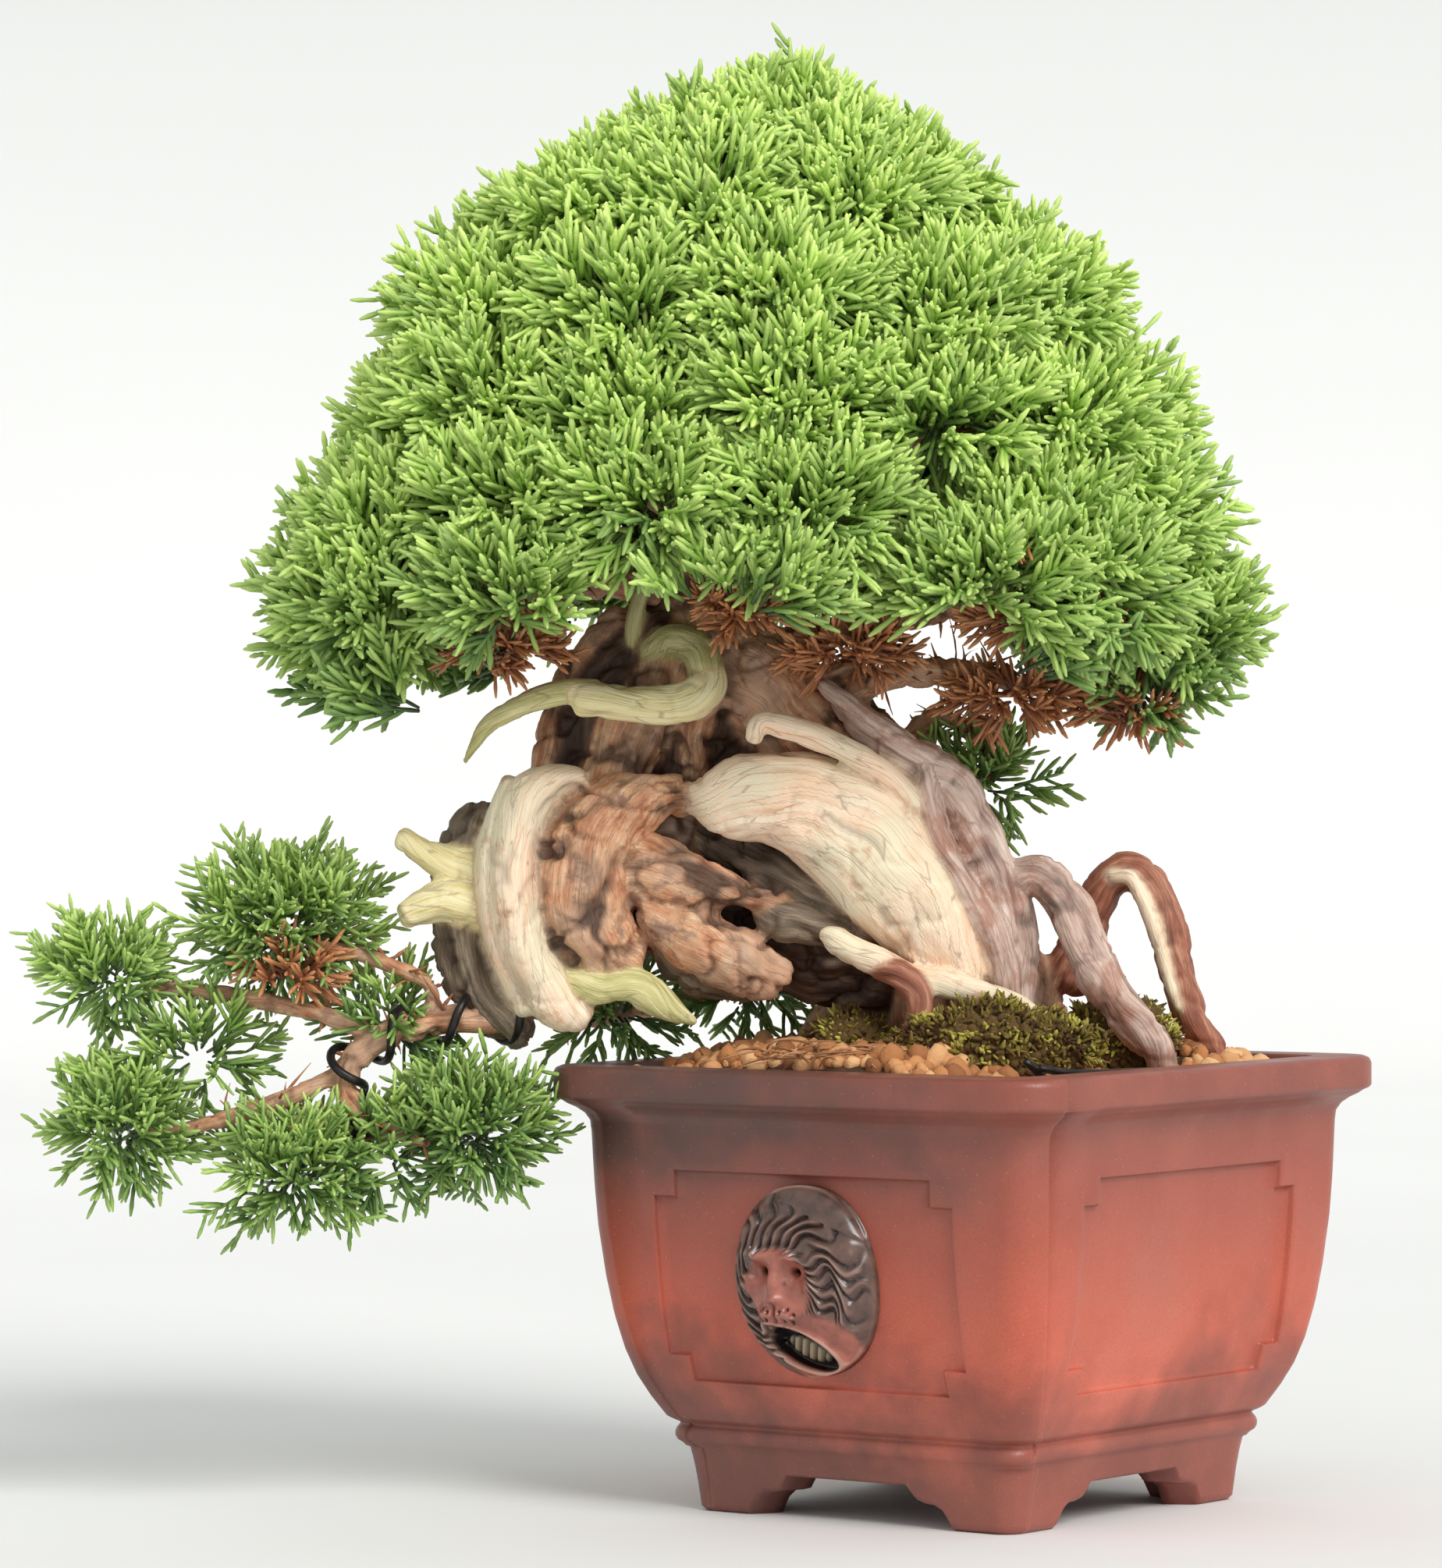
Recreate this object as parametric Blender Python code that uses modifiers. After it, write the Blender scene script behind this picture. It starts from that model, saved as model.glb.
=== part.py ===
"""A juniper bonsai in a square stoneware pot, as separate named pieces. Metres, +Z up.

The pot stands on the plane z = 0 with its lion mask facing -Y. The tree is laid out in its own
axes, turned about Z from the pot's: x to the right of its front, y towards its back, z up.
"""

from math import cos, pi, radians, sin, tau

import bmesh
import bpy
from mathutils import Matrix, Vector

GAP = 0.0003                  # clearance between pieces that touch

# Pot body
POT_HEIGHT = 0.078
RIM_WIDTH = 0.1078            # outside, square
RIM_BAND = 0.006              # height of the rim's upright band
RIM_CORNER = 0.009            # corner radius seen from above
RIM_LIP = 0.0090              # width of the rim's flat top
WALL = 0.0045
FLOOR_TOP = 0.0150
PLINTH_HEIGHT = 0.0154        # top of the moulded plinth
PLINTH_SETBACK = 0.0158       # of the plinth behind the rim's outside
FOOT_SETBACK = 0.0195         # of the feet behind the rim's outside
GROOVE_HEIGHT = 0.0008        # between the plinth and the wall
NECK_HEIGHT = 0.0055          # the cove between the wall and the rim's band
PANEL_DEPTH = 0.0008
PANEL_SIDE_MARGIN = 0.0219    # from the rim's outside to a panel's upright edge
PANEL_LOW_MARGIN = 0.0081     # from the plinth to a panel's lower edge
PANEL_TOP_MARGIN = 0.0060     # from a panel's upper edge to the neck
PANEL_STEP = 0.0045           # size of the notch in each panel corner

# Feet
FOOT_LEG = 0.0135             # length of each leg of a foot along the wall
FOOT_STEP = 0.0205            # length of the bracket above the leg
LEG_HEIGHT = 0.0046
APRON_HEIGHT = 0.0073
UNDERSIDE = 0.0095            # height of the floor's underside
FOOT_DEPTH = 0.0060           # thickness of a foot behind the wall

# Holes, mesh and wires in the pot
DRAIN_RADIUS = 0.0090
MESH_OVERLAP = 0.0035         # how far the mesh reaches past the hole
MESH_CELLS = 6
MESH_BAR = 0.0011
MESH_POCKET = 0.0010          # room left round the mesh and its clip in the soil
CLIP_WIRE = 0.0010            # diameter
CLIP_BEND = 0.0012
TIE_WIRE = 0.0015             # diameter
TIE_WIRE_BEND = 0.0012
WIRE_HOLE_CLEARANCE = 0.00105  # between the tie wire and its holes
TIE_HOLE_INSET = 0.0106       # from the cavity's side wall to both holes
TIE_HOLE_NEAR_INSET = 0.0146  # from its front wall to the nearer one
TIE_HOLE_FAR_INSET = 0.0156   # from its back wall to the farther one

# Soil and moss
SOIL_DROP = 0.0035            # from the rim's top down to the soil's edge
SOIL_LEVEL = POT_HEIGHT - SOIL_DROP
SOIL_MOUND = 0.0040           # extra height of the soil in the middle

# Lion mask
MASK_WIDTH = 0.0300
MASK_MARGIN = 0.00125         # between a mask and its panel's upper and lower edges
MASK_RISE = 0.0005            # of a mask's middle above its panel's
MASK_RELIEF = 0.0065
RING_RADIUS = 0.0062
RING_THICKNESS = 0.0030

# Tree
TREE_TURN = radians(38.2)     # from the pot's axes to the tree's
TREE_SOIL_LINE = 0.0745       # height of the soil line in the tree's own axes
TREE_POT_WIDTH = 0.1078       # width of the pot that the cascade hangs past, as it is listed
WOOD_VOXEL = 0.0009
WOOD_DETAIL = 0.030           # share of the fine mesh that is kept
ROOM_DETAIL = 0.05            # the same for the room left round it
WOOD_CLEARANCE = 0.0013       # room left round the wood in soil, moss and foliage
TRAINING_WIRE = 0.0017        # diameter
COIL_PITCH = 0.0115
COIL_PHASE = radians(340.0)   # where round the branch the wire is at the limb's second station
COIL_CLEARANCE = 0.0007       # between the wire and the bark
COIL_LEAD = 0.0028            # length of coil before the limb's second station
COIL_END = 8                  # steps of the branch left bare after the coil


# ---------------------------------------------------------------- shared helpers

def clear_scene():
    for obj in list(bpy.data.objects):
        bpy.data.objects.remove(obj, do_unlink=True)


def new_collection(name):
    collection = bpy.data.collections.new(name)
    bpy.context.scene.collection.children.link(collection)
    return collection


def new_material(name, colour, roughness, metallic=0.0):
    material = bpy.data.materials.new(name)
    material.use_nodes = True
    shader = material.node_tree.nodes["Principled BSDF"]
    shader.inputs["Base Color"].default_value = (*colour, 1.0)
    shader.inputs["Roughness"].default_value = roughness
    shader.inputs["Metallic"].default_value = metallic
    return material


def mesh_object(name, mesh, collection, material=None):
    obj = bpy.data.objects.new(name, mesh)
    collection.objects.link(obj)
    if material:
        mesh.materials.append(material)
    return obj


def bmesh_object(name, bm, collection, material=None):
    bmesh.ops.recalc_face_normals(bm, faces=bm.faces)
    mesh = bpy.data.meshes.new(name)
    bm.to_mesh(mesh)
    bm.free()
    return mesh_object(name, mesh, collection, material)


def box(name, size, centre, collection):
    bm = bmesh.new()
    bmesh.ops.create_cube(bm, size=1.0)
    bmesh.ops.scale(bm, vec=size, verts=bm.verts)
    bmesh.ops.translate(bm, vec=centre, verts=bm.verts)
    return bmesh_object(name, bm, collection)


def post(name, radius, bottom, top, x, y, collection, sides=24):
    """An upright cylinder from one height to another."""
    bm = bmesh.new()
    bmesh.ops.create_cone(bm, cap_ends=True, segments=sides, radius1=radius, radius2=radius,
                          depth=top - bottom)
    bmesh.ops.translate(bm, vec=(x, y, (bottom + top) / 2), verts=bm.verts)
    return bmesh_object(name, bm, collection)


def as_cutter(obj):
    obj.hide_render = True
    obj.display_type = "WIRE"
    return obj


def boolean(target, operand, operation="DIFFERENCE"):
    modifier = target.modifiers.new(f"{operation.lower()} {operand.name}", "BOOLEAN")
    modifier.operation = operation
    modifier.solver = "EXACT"
    modifier.object = operand


def shade_round(obj, angle=40):
    obj.data.shade_smooth()
    obj.data.set_sharp_from_angle(angle=radians(angle))


def evaluated_mesh(obj):
    depsgraph = bpy.context.evaluated_depsgraph_get()
    return bpy.data.meshes.new_from_object(obj.evaluated_get(depsgraph))


def rounded_square(half, corner, z, steps=4):
    """Points of a square with rounded corners, counter-clockwise seen from above."""
    points = []
    for quarter in range(4):
        middle = pi / 4 + quarter * pi / 2
        cx = (half - corner) * (1 if cos(middle) > 0 else -1)
        cy = (half - corner) * (1 if sin(middle) > 0 else -1)
        for step in range(steps + 1):
            angle = quarter * pi / 2 + step * pi / 2 / steps
            points.append((cx + corner * cos(angle), cy + corner * sin(angle), z))
    return points


def square_loft(name, sections, collection, material=None):
    """A closed solid through rounded squares, each given as height, half width, corner radius."""
    bm = bmesh.new()
    rings = [[bm.verts.new(point) for point in rounded_square(half, corner, z)]
             for z, half, corner in sections]
    for lower, upper in zip(rings, rings[1:]):
        for i in range(len(lower)):
            j = (i + 1) % len(lower)
            bm.faces.new((lower[i], lower[j], upper[j], upper[i]))
    bm.faces.new(list(reversed(rings[0])))
    bm.faces.new(rings[-1])
    return bmesh_object(name, bm, collection, material)


def curve_object(name, points, radii, collection, material=None):
    """A round tube along points, with a radius at each. Its ends are capped."""
    curve = bpy.data.curves.new(name, "CURVE")
    curve.dimensions = "3D"
    curve.bevel_depth = 1.0
    curve.bevel_resolution = 2
    curve.use_fill_caps = True
    spline = curve.splines.new("POLY")
    spline.points.add(len(points) - 1)
    for spline_point, point, radius in zip(spline.points, points, radii):
        spline_point.co = (*point, 1.0)
        spline_point.radius = radius
    obj = bpy.data.objects.new(name, curve)
    collection.objects.link(obj)
    if material:
        curve.materials.append(material)
    return obj


def curve_to_mesh(obj, collection):
    """The same tube as a closed mesh object, so that it can cut or be joined."""
    name = obj.name
    matrix = obj.matrix_world.copy()
    mesh = evaluated_mesh(obj)
    bpy.data.objects.remove(obj, do_unlink=True)
    bm = bmesh.new()
    bm.from_mesh(mesh)
    bmesh.ops.remove_doubles(bm, verts=bm.verts, dist=0.00001)
    result = bmesh_object(name, bm, collection)
    result.matrix_world = matrix
    return result


def smooth_path(points, per_span):
    """Points along a Catmull-Rom curve through the given points."""
    ends = [points[0] * 2 - points[1], *points, points[-1] * 2 - points[-2]]
    path = []
    for a, b, c, d in zip(ends, ends[1:], ends[2:], ends[3:]):
        for step in range(per_span):
            t = step / per_span
            path.append(((b * 2) + (c - a) * t + (a * 2 - b * 5 + c * 4 - d) * t * t
                         + (b * 3 - a - c * 3 + d) * t ** 3) / 2)
    path.append(points[-1].copy())
    return path


def millimetres(*values):
    return Vector(values) / 1000


# ---------------------------------------------------------------- pot

# The wall's bulge: share of the way from the plinth's groove to the neck, and how far the wall
# stands back there from the rim's outside.
WALL_BULGE = [(0.0, 0.0148), (0.078, 0.0128), (0.155, 0.0110), (0.245, 0.0096), (0.364, 0.0083),
              (0.499, 0.0073), (0.672, 0.0064), (0.811, 0.0060), (1.0, 0.0056)]


def wall_height(share):
    """Height of a share of the way up the wall."""
    low = PLINTH_HEIGHT + GROOVE_HEIGHT
    return low + share * (POT_HEIGHT - RIM_BAND - NECK_HEIGHT - low)


def wall_stations():
    return [(wall_height(share), RIM_WIDTH / 2 - setback) for share, setback in WALL_BULGE]


def wall_half(z):
    """Half width of the pot's outer wall at a height, between the plinth and the rim."""
    stations = wall_stations()
    for (z0, half0), (z1, half1) in zip(stations, stations[1:]):
        if z <= z1:
            return half0 + (half1 - half0) * max(0.0, (z - z0) / (z1 - z0))
    return stations[-1][1]


def pot_profile():
    """Heights, half widths and corner radii of the pot's outside, from the ground up."""
    rim = RIM_WIDTH / 2
    plinth = rim - PLINTH_SETBACK
    foot = rim - FOOT_SETBACK
    profile = [
        (0.0, foot - 0.0006, 0.0035),
        (0.0010, foot, 0.0040),
        (LEG_HEIGHT + 0.001, foot + 0.0008, 0.0040),
        (APRON_HEIGHT + 0.002, plinth - 0.0020, 0.0045),
        (PLINTH_HEIGHT - 0.0040, plinth - 0.0014, 0.0045),
        (PLINTH_HEIGHT - 0.0025, plinth - 0.0006, 0.0045),
        (PLINTH_HEIGHT - 0.0012, plinth + 0.0001, 0.0050),
        (PLINTH_HEIGHT, plinth - 0.0001, 0.0050),
    ]
    profile += [(z, half, 0.0058) for z, half in wall_stations()]
    neck = profile[-1][1]
    top = POT_HEIGHT
    profile += [
        (top - RIM_BAND - 0.0034, neck + 0.0006, 0.0068),
        (top - RIM_BAND - 0.0014, neck + 0.0022, 0.0078),
        (top - RIM_BAND, rim - 0.0012, 0.0084),
        (top - RIM_BAND + 0.0008, rim, RIM_CORNER),
        (top - 0.0010, rim, RIM_CORNER),
        (top, rim - 0.0010, RIM_CORNER),
    ]
    return profile


def inside_profile(clearance=0.0):
    """The pot's cavity, from its floor to just above the rim, or a solid that fits it."""
    sections = [(FLOOR_TOP + clearance, wall_half(FLOOR_TOP) - WALL - 0.003 - clearance, 0.003)]
    for z in (FLOOR_TOP + 0.0025, *[wall_height(share) for share in (0.155, 0.364, 0.672, 0.95)]):
        sections.append((z, wall_half(z) - WALL - clearance, 0.0035))
    return sections


def rim_opening(clearance=0.0):
    return RIM_WIDTH / 2 - RIM_LIP - clearance


def panel_span():
    """Heights of a panel's lower and upper edges."""
    return (PLINTH_HEIGHT + PANEL_LOW_MARGIN,
            POT_HEIGHT - RIM_BAND - NECK_HEIGHT - PANEL_TOP_MARGIN)


def panel_prism(along_x, cutters):
    """A long prism with stepped corners that marks two facing panels."""
    bm = bmesh.new()
    w, s = RIM_WIDTH / 2 - PANEL_SIDE_MARGIN, PANEL_STEP
    low, top = panel_span()
    corners = [(-w, low + s), (-w + s, low + s), (-w + s, low), (w - s, low), (w - s, low + s),
               (w, low + s), (w, top - s), (w - s, top - s), (w - s, top), (-w + s, top),
               (-w + s, top - s), (-w, top - s)]
    reach = RIM_WIDTH
    face = bm.faces.new([bm.verts.new((x, -reach, z)) for x, z in corners])
    pushed = bmesh.ops.extrude_face_region(bm, geom=[face])
    moved = [v for v in pushed["geom"] if isinstance(v, bmesh.types.BMVert)]
    bmesh.ops.translate(bm, vec=(0, 2 * reach, 0), verts=moved)
    if along_x:
        bmesh.ops.rotate(bm, verts=bm.verts, matrix=Matrix.Rotation(pi / 2, 3, "Z"))
    name = "panels_x" if along_x else "panels_y"
    return as_cutter(bmesh_object(name, bm, cutters))


def make_pot(parts, cutters, material):
    pot = square_loft("pot", pot_profile(), parts, material)

    opening = rim_opening()
    hollow = inside_profile() + [(POT_HEIGHT - 0.004, opening, 0.004),
                                 (POT_HEIGHT + 0.002, opening, 0.004)]
    boolean(pot, as_cutter(square_loft("pot_hollow", hollow, cutters)))

    panel_floor = [(z, half - PANEL_DEPTH, corner) for z, half, corner in pot_profile()]
    core = as_cutter(square_loft("panel_floor", panel_floor, cutters))
    for along_x in (True, False):
        prism = panel_prism(along_x, cutters)
        boolean(prism, core)
        boolean(pot, prism)

    cut_feet(pot, cutters)
    cut_holes(pot, cutters)
    return pot


def cut_feet(pot, cutters):
    """Bracket feet at the corners, with a stepped apron between them."""
    foot_half = pot_profile()[0][1]
    reach = RIM_WIDTH
    for length, top, label in ((FOOT_LEG, LEG_HEIGHT, "low"), (FOOT_STEP, APRON_HEIGHT, "high")):
        width = 2 * (foot_half - length)
        height = top + 0.004
        centre = (0, 0, top - height / 2)
        across_x = box(f"apron_{label}_x", (reach * 2, width, height), centre, cutters)
        across_y = box(f"apron_{label}_y", (width, reach * 2, height), centre, cutters)
        boolean(pot, as_cutter(across_x))
        boolean(pot, as_cutter(across_y))
    inner = foot_half - FOOT_DEPTH
    under = box("underside", (inner * 2, inner * 2, UNDERSIDE * 2), (0, 0, 0), cutters)
    boolean(pot, as_cutter(under))


def tie_hole_places():
    """The two holes' shared x, and the nearer and farther one's y."""
    cavity = wall_half(FLOOR_TOP) - WALL
    return cavity - TIE_HOLE_INSET, TIE_HOLE_NEAR_INSET - cavity, cavity - TIE_HOLE_FAR_INSET


def cut_holes(pot, cutters):
    bottom, top = UNDERSIDE - 0.002, FLOOR_TOP + 0.002
    drain = post("drain_hole", DRAIN_RADIUS, bottom, top, 0, 0, cutters, sides=32)
    boolean(pot, as_cutter(drain))
    x, near, far = tie_hole_places()
    radius = TIE_WIRE / 2 + WIRE_HOLE_CLEARANCE
    for label, y in (("near", near), ("far", far)):
        hole = post(f"tie_hole_{label}", radius, bottom, top, x, y, cutters, sides=16)
        boolean(pot, as_cutter(hole))


# ---------------------------------------------------------------- lion masks

def mask_place():
    """A mask's height, and the height of its middle, from the panel that it stands in."""
    low, top = panel_span()
    return top - low - 2 * MASK_MARGIN, (low + top) / 2 + MASK_RISE


def make_mask(name, facing, pot_core, parts, cutters, material):
    """A lion's head in relief with a ring in its mouth, on a wall of the pot."""
    height, middle = mask_place()
    bm = bmesh.new()
    bmesh.ops.create_uvsphere(bm, u_segments=18, v_segments=10, radius=1.0)
    for vert in bm.verts:
        mane = 1.0 + 0.035 * cos(9 * pi * vert.co.z)
        vert.co = Vector((vert.co.x * MASK_WIDTH / 2 * mane, vert.co.y * MASK_RELIEF,
                          vert.co.z * height / 2))
    wall = wall_half(middle) - PANEL_DEPTH
    bmesh.ops.translate(bm, vec=(0, -wall, middle), verts=bm.verts)
    head = bmesh_object(name, bm, parts, material)

    snout = mask_lump(f"{name}_snout", (0.0055, 0.0045, 0.0070), wall, middle - 0.001, cutters)
    drop = height / 2 - RING_RADIUS - RING_THICKNESS
    ring = mask_ring(f"{name}_ring", wall, middle - drop, cutters)
    boolean(head, snout, "UNION")
    boolean(head, ring, "UNION")
    turn = Matrix.Rotation(facing, 4, "Z")
    for obj in (head, snout, ring):
        obj.matrix_world = turn
    boolean(head, pot_core)
    return head


def mask_lump(name, radii, wall, middle, cutters):
    bm = bmesh.new()
    bmesh.ops.create_uvsphere(bm, u_segments=12, v_segments=8, radius=1.0)
    bmesh.ops.scale(bm, vec=radii, verts=bm.verts)
    bmesh.ops.translate(bm, vec=(0, -wall - MASK_RELIEF + 0.001, middle), verts=bm.verts)
    return as_cutter(bmesh_object(name, bm, cutters))


def mask_ring(name, wall, middle, cutters):
    bm = bmesh.new()
    around, across = 16, 6
    rings = []
    for i in range(around):
        turn = tau * i / around
        centre = Vector((cos(turn), 0, sin(turn))) * RING_RADIUS
        ring = []
        for j in range(across):
            tilt = tau * j / across
            out = Vector((cos(turn) * cos(tilt), sin(tilt), sin(turn) * cos(tilt)))
            ring.append(bm.verts.new(centre + out * RING_THICKNESS / 2))
        rings.append(ring)
    for i in range(around):
        for j in range(across):
            k, m = (i + 1) % around, (j + 1) % across
            bm.faces.new((rings[i][j], rings[i][m], rings[k][m], rings[k][j]))
    bmesh.ops.translate(bm, vec=(0, -wall - MASK_RELIEF * 0.75, middle), verts=bm.verts)
    return as_cutter(bmesh_object(name, bm, cutters))


# ---------------------------------------------------------------- drainage mesh, clip, tie wire

def make_drainage_mesh(parts, material):
    """A square lattice over the drainage hole."""
    bm = bmesh.new()
    bmesh.ops.create_grid(bm, x_segments=MESH_CELLS, y_segments=MESH_CELLS,
                          size=DRAIN_RADIUS + MESH_OVERLAP)
    bmesh.ops.translate(bm, vec=(0, 0, mesh_height()), verts=bm.verts)
    lattice = bmesh_object("drainage_mesh", bm, parts, material)
    bars = lattice.modifiers.new("bars", "WIREFRAME")
    bars.thickness = MESH_BAR
    bars.use_even_offset = True
    bars.use_boundary = True
    bars.use_replace = True
    return lattice


def mesh_height():
    return FLOOR_TOP + GAP + MESH_BAR / 2 + 0.0002


def mesh_cell():
    return 2 * (DRAIN_RADIUS + MESH_OVERLAP) / MESH_CELLS


def make_mesh_clip(parts, material):
    """A wire staple over the mesh, its legs bent out under the pot's floor."""
    half = mesh_cell() * 1.5
    top = mesh_height() + MESH_BAR / 2 + CLIP_WIRE / 2 + GAP
    low = UNDERSIDE - CLIP_WIRE / 2 - GAP
    y = mesh_cell() / 2
    reach = DRAIN_RADIUS + 0.005
    bend = CLIP_BEND
    points = [Vector(p) for p in (
        (-reach, y, low), (-half - bend, y, low), (-half, y, low + bend),
        (-half, y, top - bend), (-half + bend, y, top), (half - bend, y, top),
        (half, y, top - bend), (half, y, low + bend), (half + bend, y, low), (reach, y, low))]
    radii = [CLIP_WIRE / 2] * len(points)
    return curve_object("mesh_clip", points, radii, parts, material)


def tie_wire_path():
    """Under the floor between its two holes, up through the soil, and twisted on the surface."""
    low = UNDERSIDE - TIE_WIRE / 2 - GAP
    surface = SOIL_LEVEL + TIE_WIRE / 2 + 0.0012
    half_way = (FLOOR_TOP + SOIL_LEVEL) / 2
    along = rim_opening() - TIE_WIRE / 2 - 0.0018
    bend = TIE_WIRE_BEND
    x, near, far = tie_hole_places()
    twist = Vector((along - 0.0088, near - 0.0090, surface + 0.0035))
    route = [
        twist,
        twist + Vector((0.0017, 0.0030, -0.0031)),
        twist + Vector((0.0010, 0.0070, -0.0065)),
        Vector((x + 0.0030, near, surface - 0.0110)),
        Vector((x, near, half_way)),
        Vector((x, near, FLOOR_TOP)),
        Vector((x, near, low + bend)),
        Vector((x, near + bend, low - 0.0004)),
        Vector((x, (near + far) / 2, low)),
        Vector((x, far - bend, low - 0.0004)),
        Vector((x, far, low + bend)),
        Vector((x, far, FLOOR_TOP)),
        Vector((x, far, half_way)),
        Vector((x + 0.0070, far, surface - 0.0120)),
        Vector((along - 0.0023, far - 0.0005, surface - 0.0030)),
        Vector((along, far - 0.0050, surface + 0.0002)),
        Vector((along, 0.0000, surface + 0.0006)),
        Vector((along - 0.0008, near / 2, surface + 0.0008)),
        Vector((along - 0.0035, near - 0.0020, surface + 0.0010)),
        twist + Vector((0.0025, 0.0005, -0.0013)),
    ]
    return smooth_path(route, 2)


def make_tie_wire(parts, cutters, material):
    path = tie_wire_path()
    wire = curve_object("tie_wire", path, [TIE_WIRE / 2] * len(path), parts, material)
    fat = curve_object("tie_wire_room", path, [TIE_WIRE / 2 + 2 * GAP] * len(path), cutters)
    return wire, as_cutter(curve_to_mesh(fat, cutters))


# ---------------------------------------------------------------- tree

# Each limb is a list of (x, y, z, radius) in millimetres in the tree's own axes, root end first.
TRUNK = [
    [(6, 4, 62, 13), (3, 2, 80, 17), (0, 0, 95, 15), (-5, -2, 108, 13), (-13, -3, 120, 12.5),
     (-24, -2, 131, 12.5), (-34, 0, 139, 12), (-43, 2, 146, 10), (-47, 3, 156, 8.5),
     (-46, 2, 170, 7), (-42, 0, 186, 5.5), (-36, 0, 204, 4), (-33, 0, 222, 2.6), (-33, 0, 238, 1.6)],
    [(-43, -7, 126, 4.5), (-33, -10, 122, 8), (-20, -11, 112, 10), (-8, -9, 100, 10),
     (0, -6, 88, 9)],
    [(-8, 2, 96, 9), (-24, 1, 101, 8), (-38, -1, 105, 7.5), (-52, -3, 111, 12),
     (-66, -4, 112, 16), (-76, -3, 104, 14), (-78, -3, 97, 9)],
    [(-66, -3, 116, 14), (-66, -1, 126, 10), (-60, 1, 136, 8.5), (-54, 2, 146, 8),
     (-48, 3, 156, 7)],
    [(-71, -1, 122, 4), (-72, 1, 134, 3.2), (-70, 2, 144, 3.2), (-60, 2, 154, 4)],
    [(-54, -7, 107, 6), (-44, -8, 99, 7), (-35, -6, 93, 5.5)],
    [(-72, -3, 104, 13), (-71, -4, 93, 6)],
]
SURFACE_ROOTS = [
    [(4, -2, 104, 7), (12, -7, 110, 5), (19, -12, 104, 4.6), (26, -16, 93, 4.2),
     (33, -17, 81, 3.6), (33, -14, 68, 2.6)],
    [(10, 6, 98, 7), (20, 5, 109, 5.2), (29, 2, 111, 5.4), (36, -1, 102, 5), (39, -3, 90, 4.6),
     (43, -2, 79, 3.2), (43, 2, 68, 2.4)],
    [(-14, -10, 96, 7), (-20, -14, 97, 3.6), (-13, -18, 93, 3.4), (-9, -20, 86, 3.2),
     (-12, -22, 79, 2.8), (-12, -22, 68, 2.2)],
    [(-13, -17, 93, 3.2), (0, -20, 91, 2.8), (10, -23, 86, 2.4), (15, -26, 78, 2.2),
     (16, -27, 68, 1.8)],
    [(0, 12, 92, 8), (4, 24, 84, 5), (8, 33, 74, 3.4), (10, 36, 64, 2.4)],
    [(-12, 8, 92, 8), (-23, 15, 84, 5), (-29, 20, 74, 3.2), (-30, 20, 64, 2.2)],
]
BRANCHES = [
    [(-46, 3, 158, 6), (-60, 1, 162, 3.4), (-80, -1, 159, 2.4), (-100, -3, 155, 1.8)],
    [(-44, 2, 172, 5), (-62, -2, 180, 2.8), (-86, -4, 182, 2.0)],
    [(-38, 1, 150, 6), (-18, -4, 154, 3.4), (4, -8, 157, 2.6), (28, -8, 154, 1.8)],
    [(-26, -2, 140, 6), (-10, -6, 146, 3.2), (6, -6, 145, 2.4), (20, -6, 139, 1.6)],
    [(-14, 4, 128, 6), (-4, 8, 138, 2.6), (2, 7, 134, 1.6)],
    [(-43, 0, 164, 5), (-38, -16, 166, 3), (-33, -30, 164, 1.8)],
    [(-46, 5, 164, 5), (-40, 22, 166, 3), (-32, 36, 162, 1.8)],
    [(-42, 0, 180, 4.5), (-20, -2, 186, 2.8), (10, -4, 187, 2.0), (24, -5, 185, 1.6)],
    [(-41, 0, 186, 4), (-50, -16, 186, 2.4), (-60, -28, 184, 1.7)],
    [(-41, 0, 188, 4), (-28, -18, 188, 2.4), (-16, -30, 188, 1.7)],
    [(-41, 2, 188, 4), (-52, 18, 189, 2.4), (-60, 30, 188, 1.7)],
    [(-41, 2, 188, 4), (-22, 18, 189, 2.4), (-6, 28, 188, 1.7)],
    [(-37, 0, 204, 3.4), (-56, 0, 211, 2.2), (-76, 0, 213, 1.6)],
    [(-35, 0, 208, 3.2), (-18, 0, 213, 2.2), (0, 0, 214, 1.6)],
    [(-36, 0, 206, 3), (-38, -14, 211, 2), (-38, -24, 212, 1.6)],
    [(-35, 0, 206, 3), (-34, 14, 212, 2), (-34, 24, 213, 1.6)],
]
CASCADE = [(-70, -4, 92, 4.5), (-80, -5, 86.5, 3.2), (-90, -6, 86, 2.8), (-100, -6, 83.5, 2.5),
           (-107, -7, 79.5, 2.2), (-108, -8, 73, 2.0), (-102, -9, 67, 1.8), (-94, -9, 65, 1.6)]
CASCADE_FORKS = [
    [(-101, -6, 83, 1.8), (-116, -6, 88, 1.7), (-132, -5, 91, 1.5), (-143, -4, 92, 1.4)],
    [(-94, -6, 86, 1.8), (-94, -5, 92, 1.7), (-104, -5, 97, 1.6), (-114, -4, 99, 1.5)],
    [(-107, -7, 78, 1.8), (-120, -8, 72, 1.7), (-134, -7, 68, 1.5), (-142, -6, 67, 1.4)],
    [(-107, -8, 71, 1.8), (-113, -9, 67, 1.6), (-117, -9, 63, 1.4)],
]
BACK_BRANCH = [(-76, 1, 92, 4), (-68, 12, 86, 2.4), (-56, 22, 87, 1.8), (-46, 26, 89, 1.5)]
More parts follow.
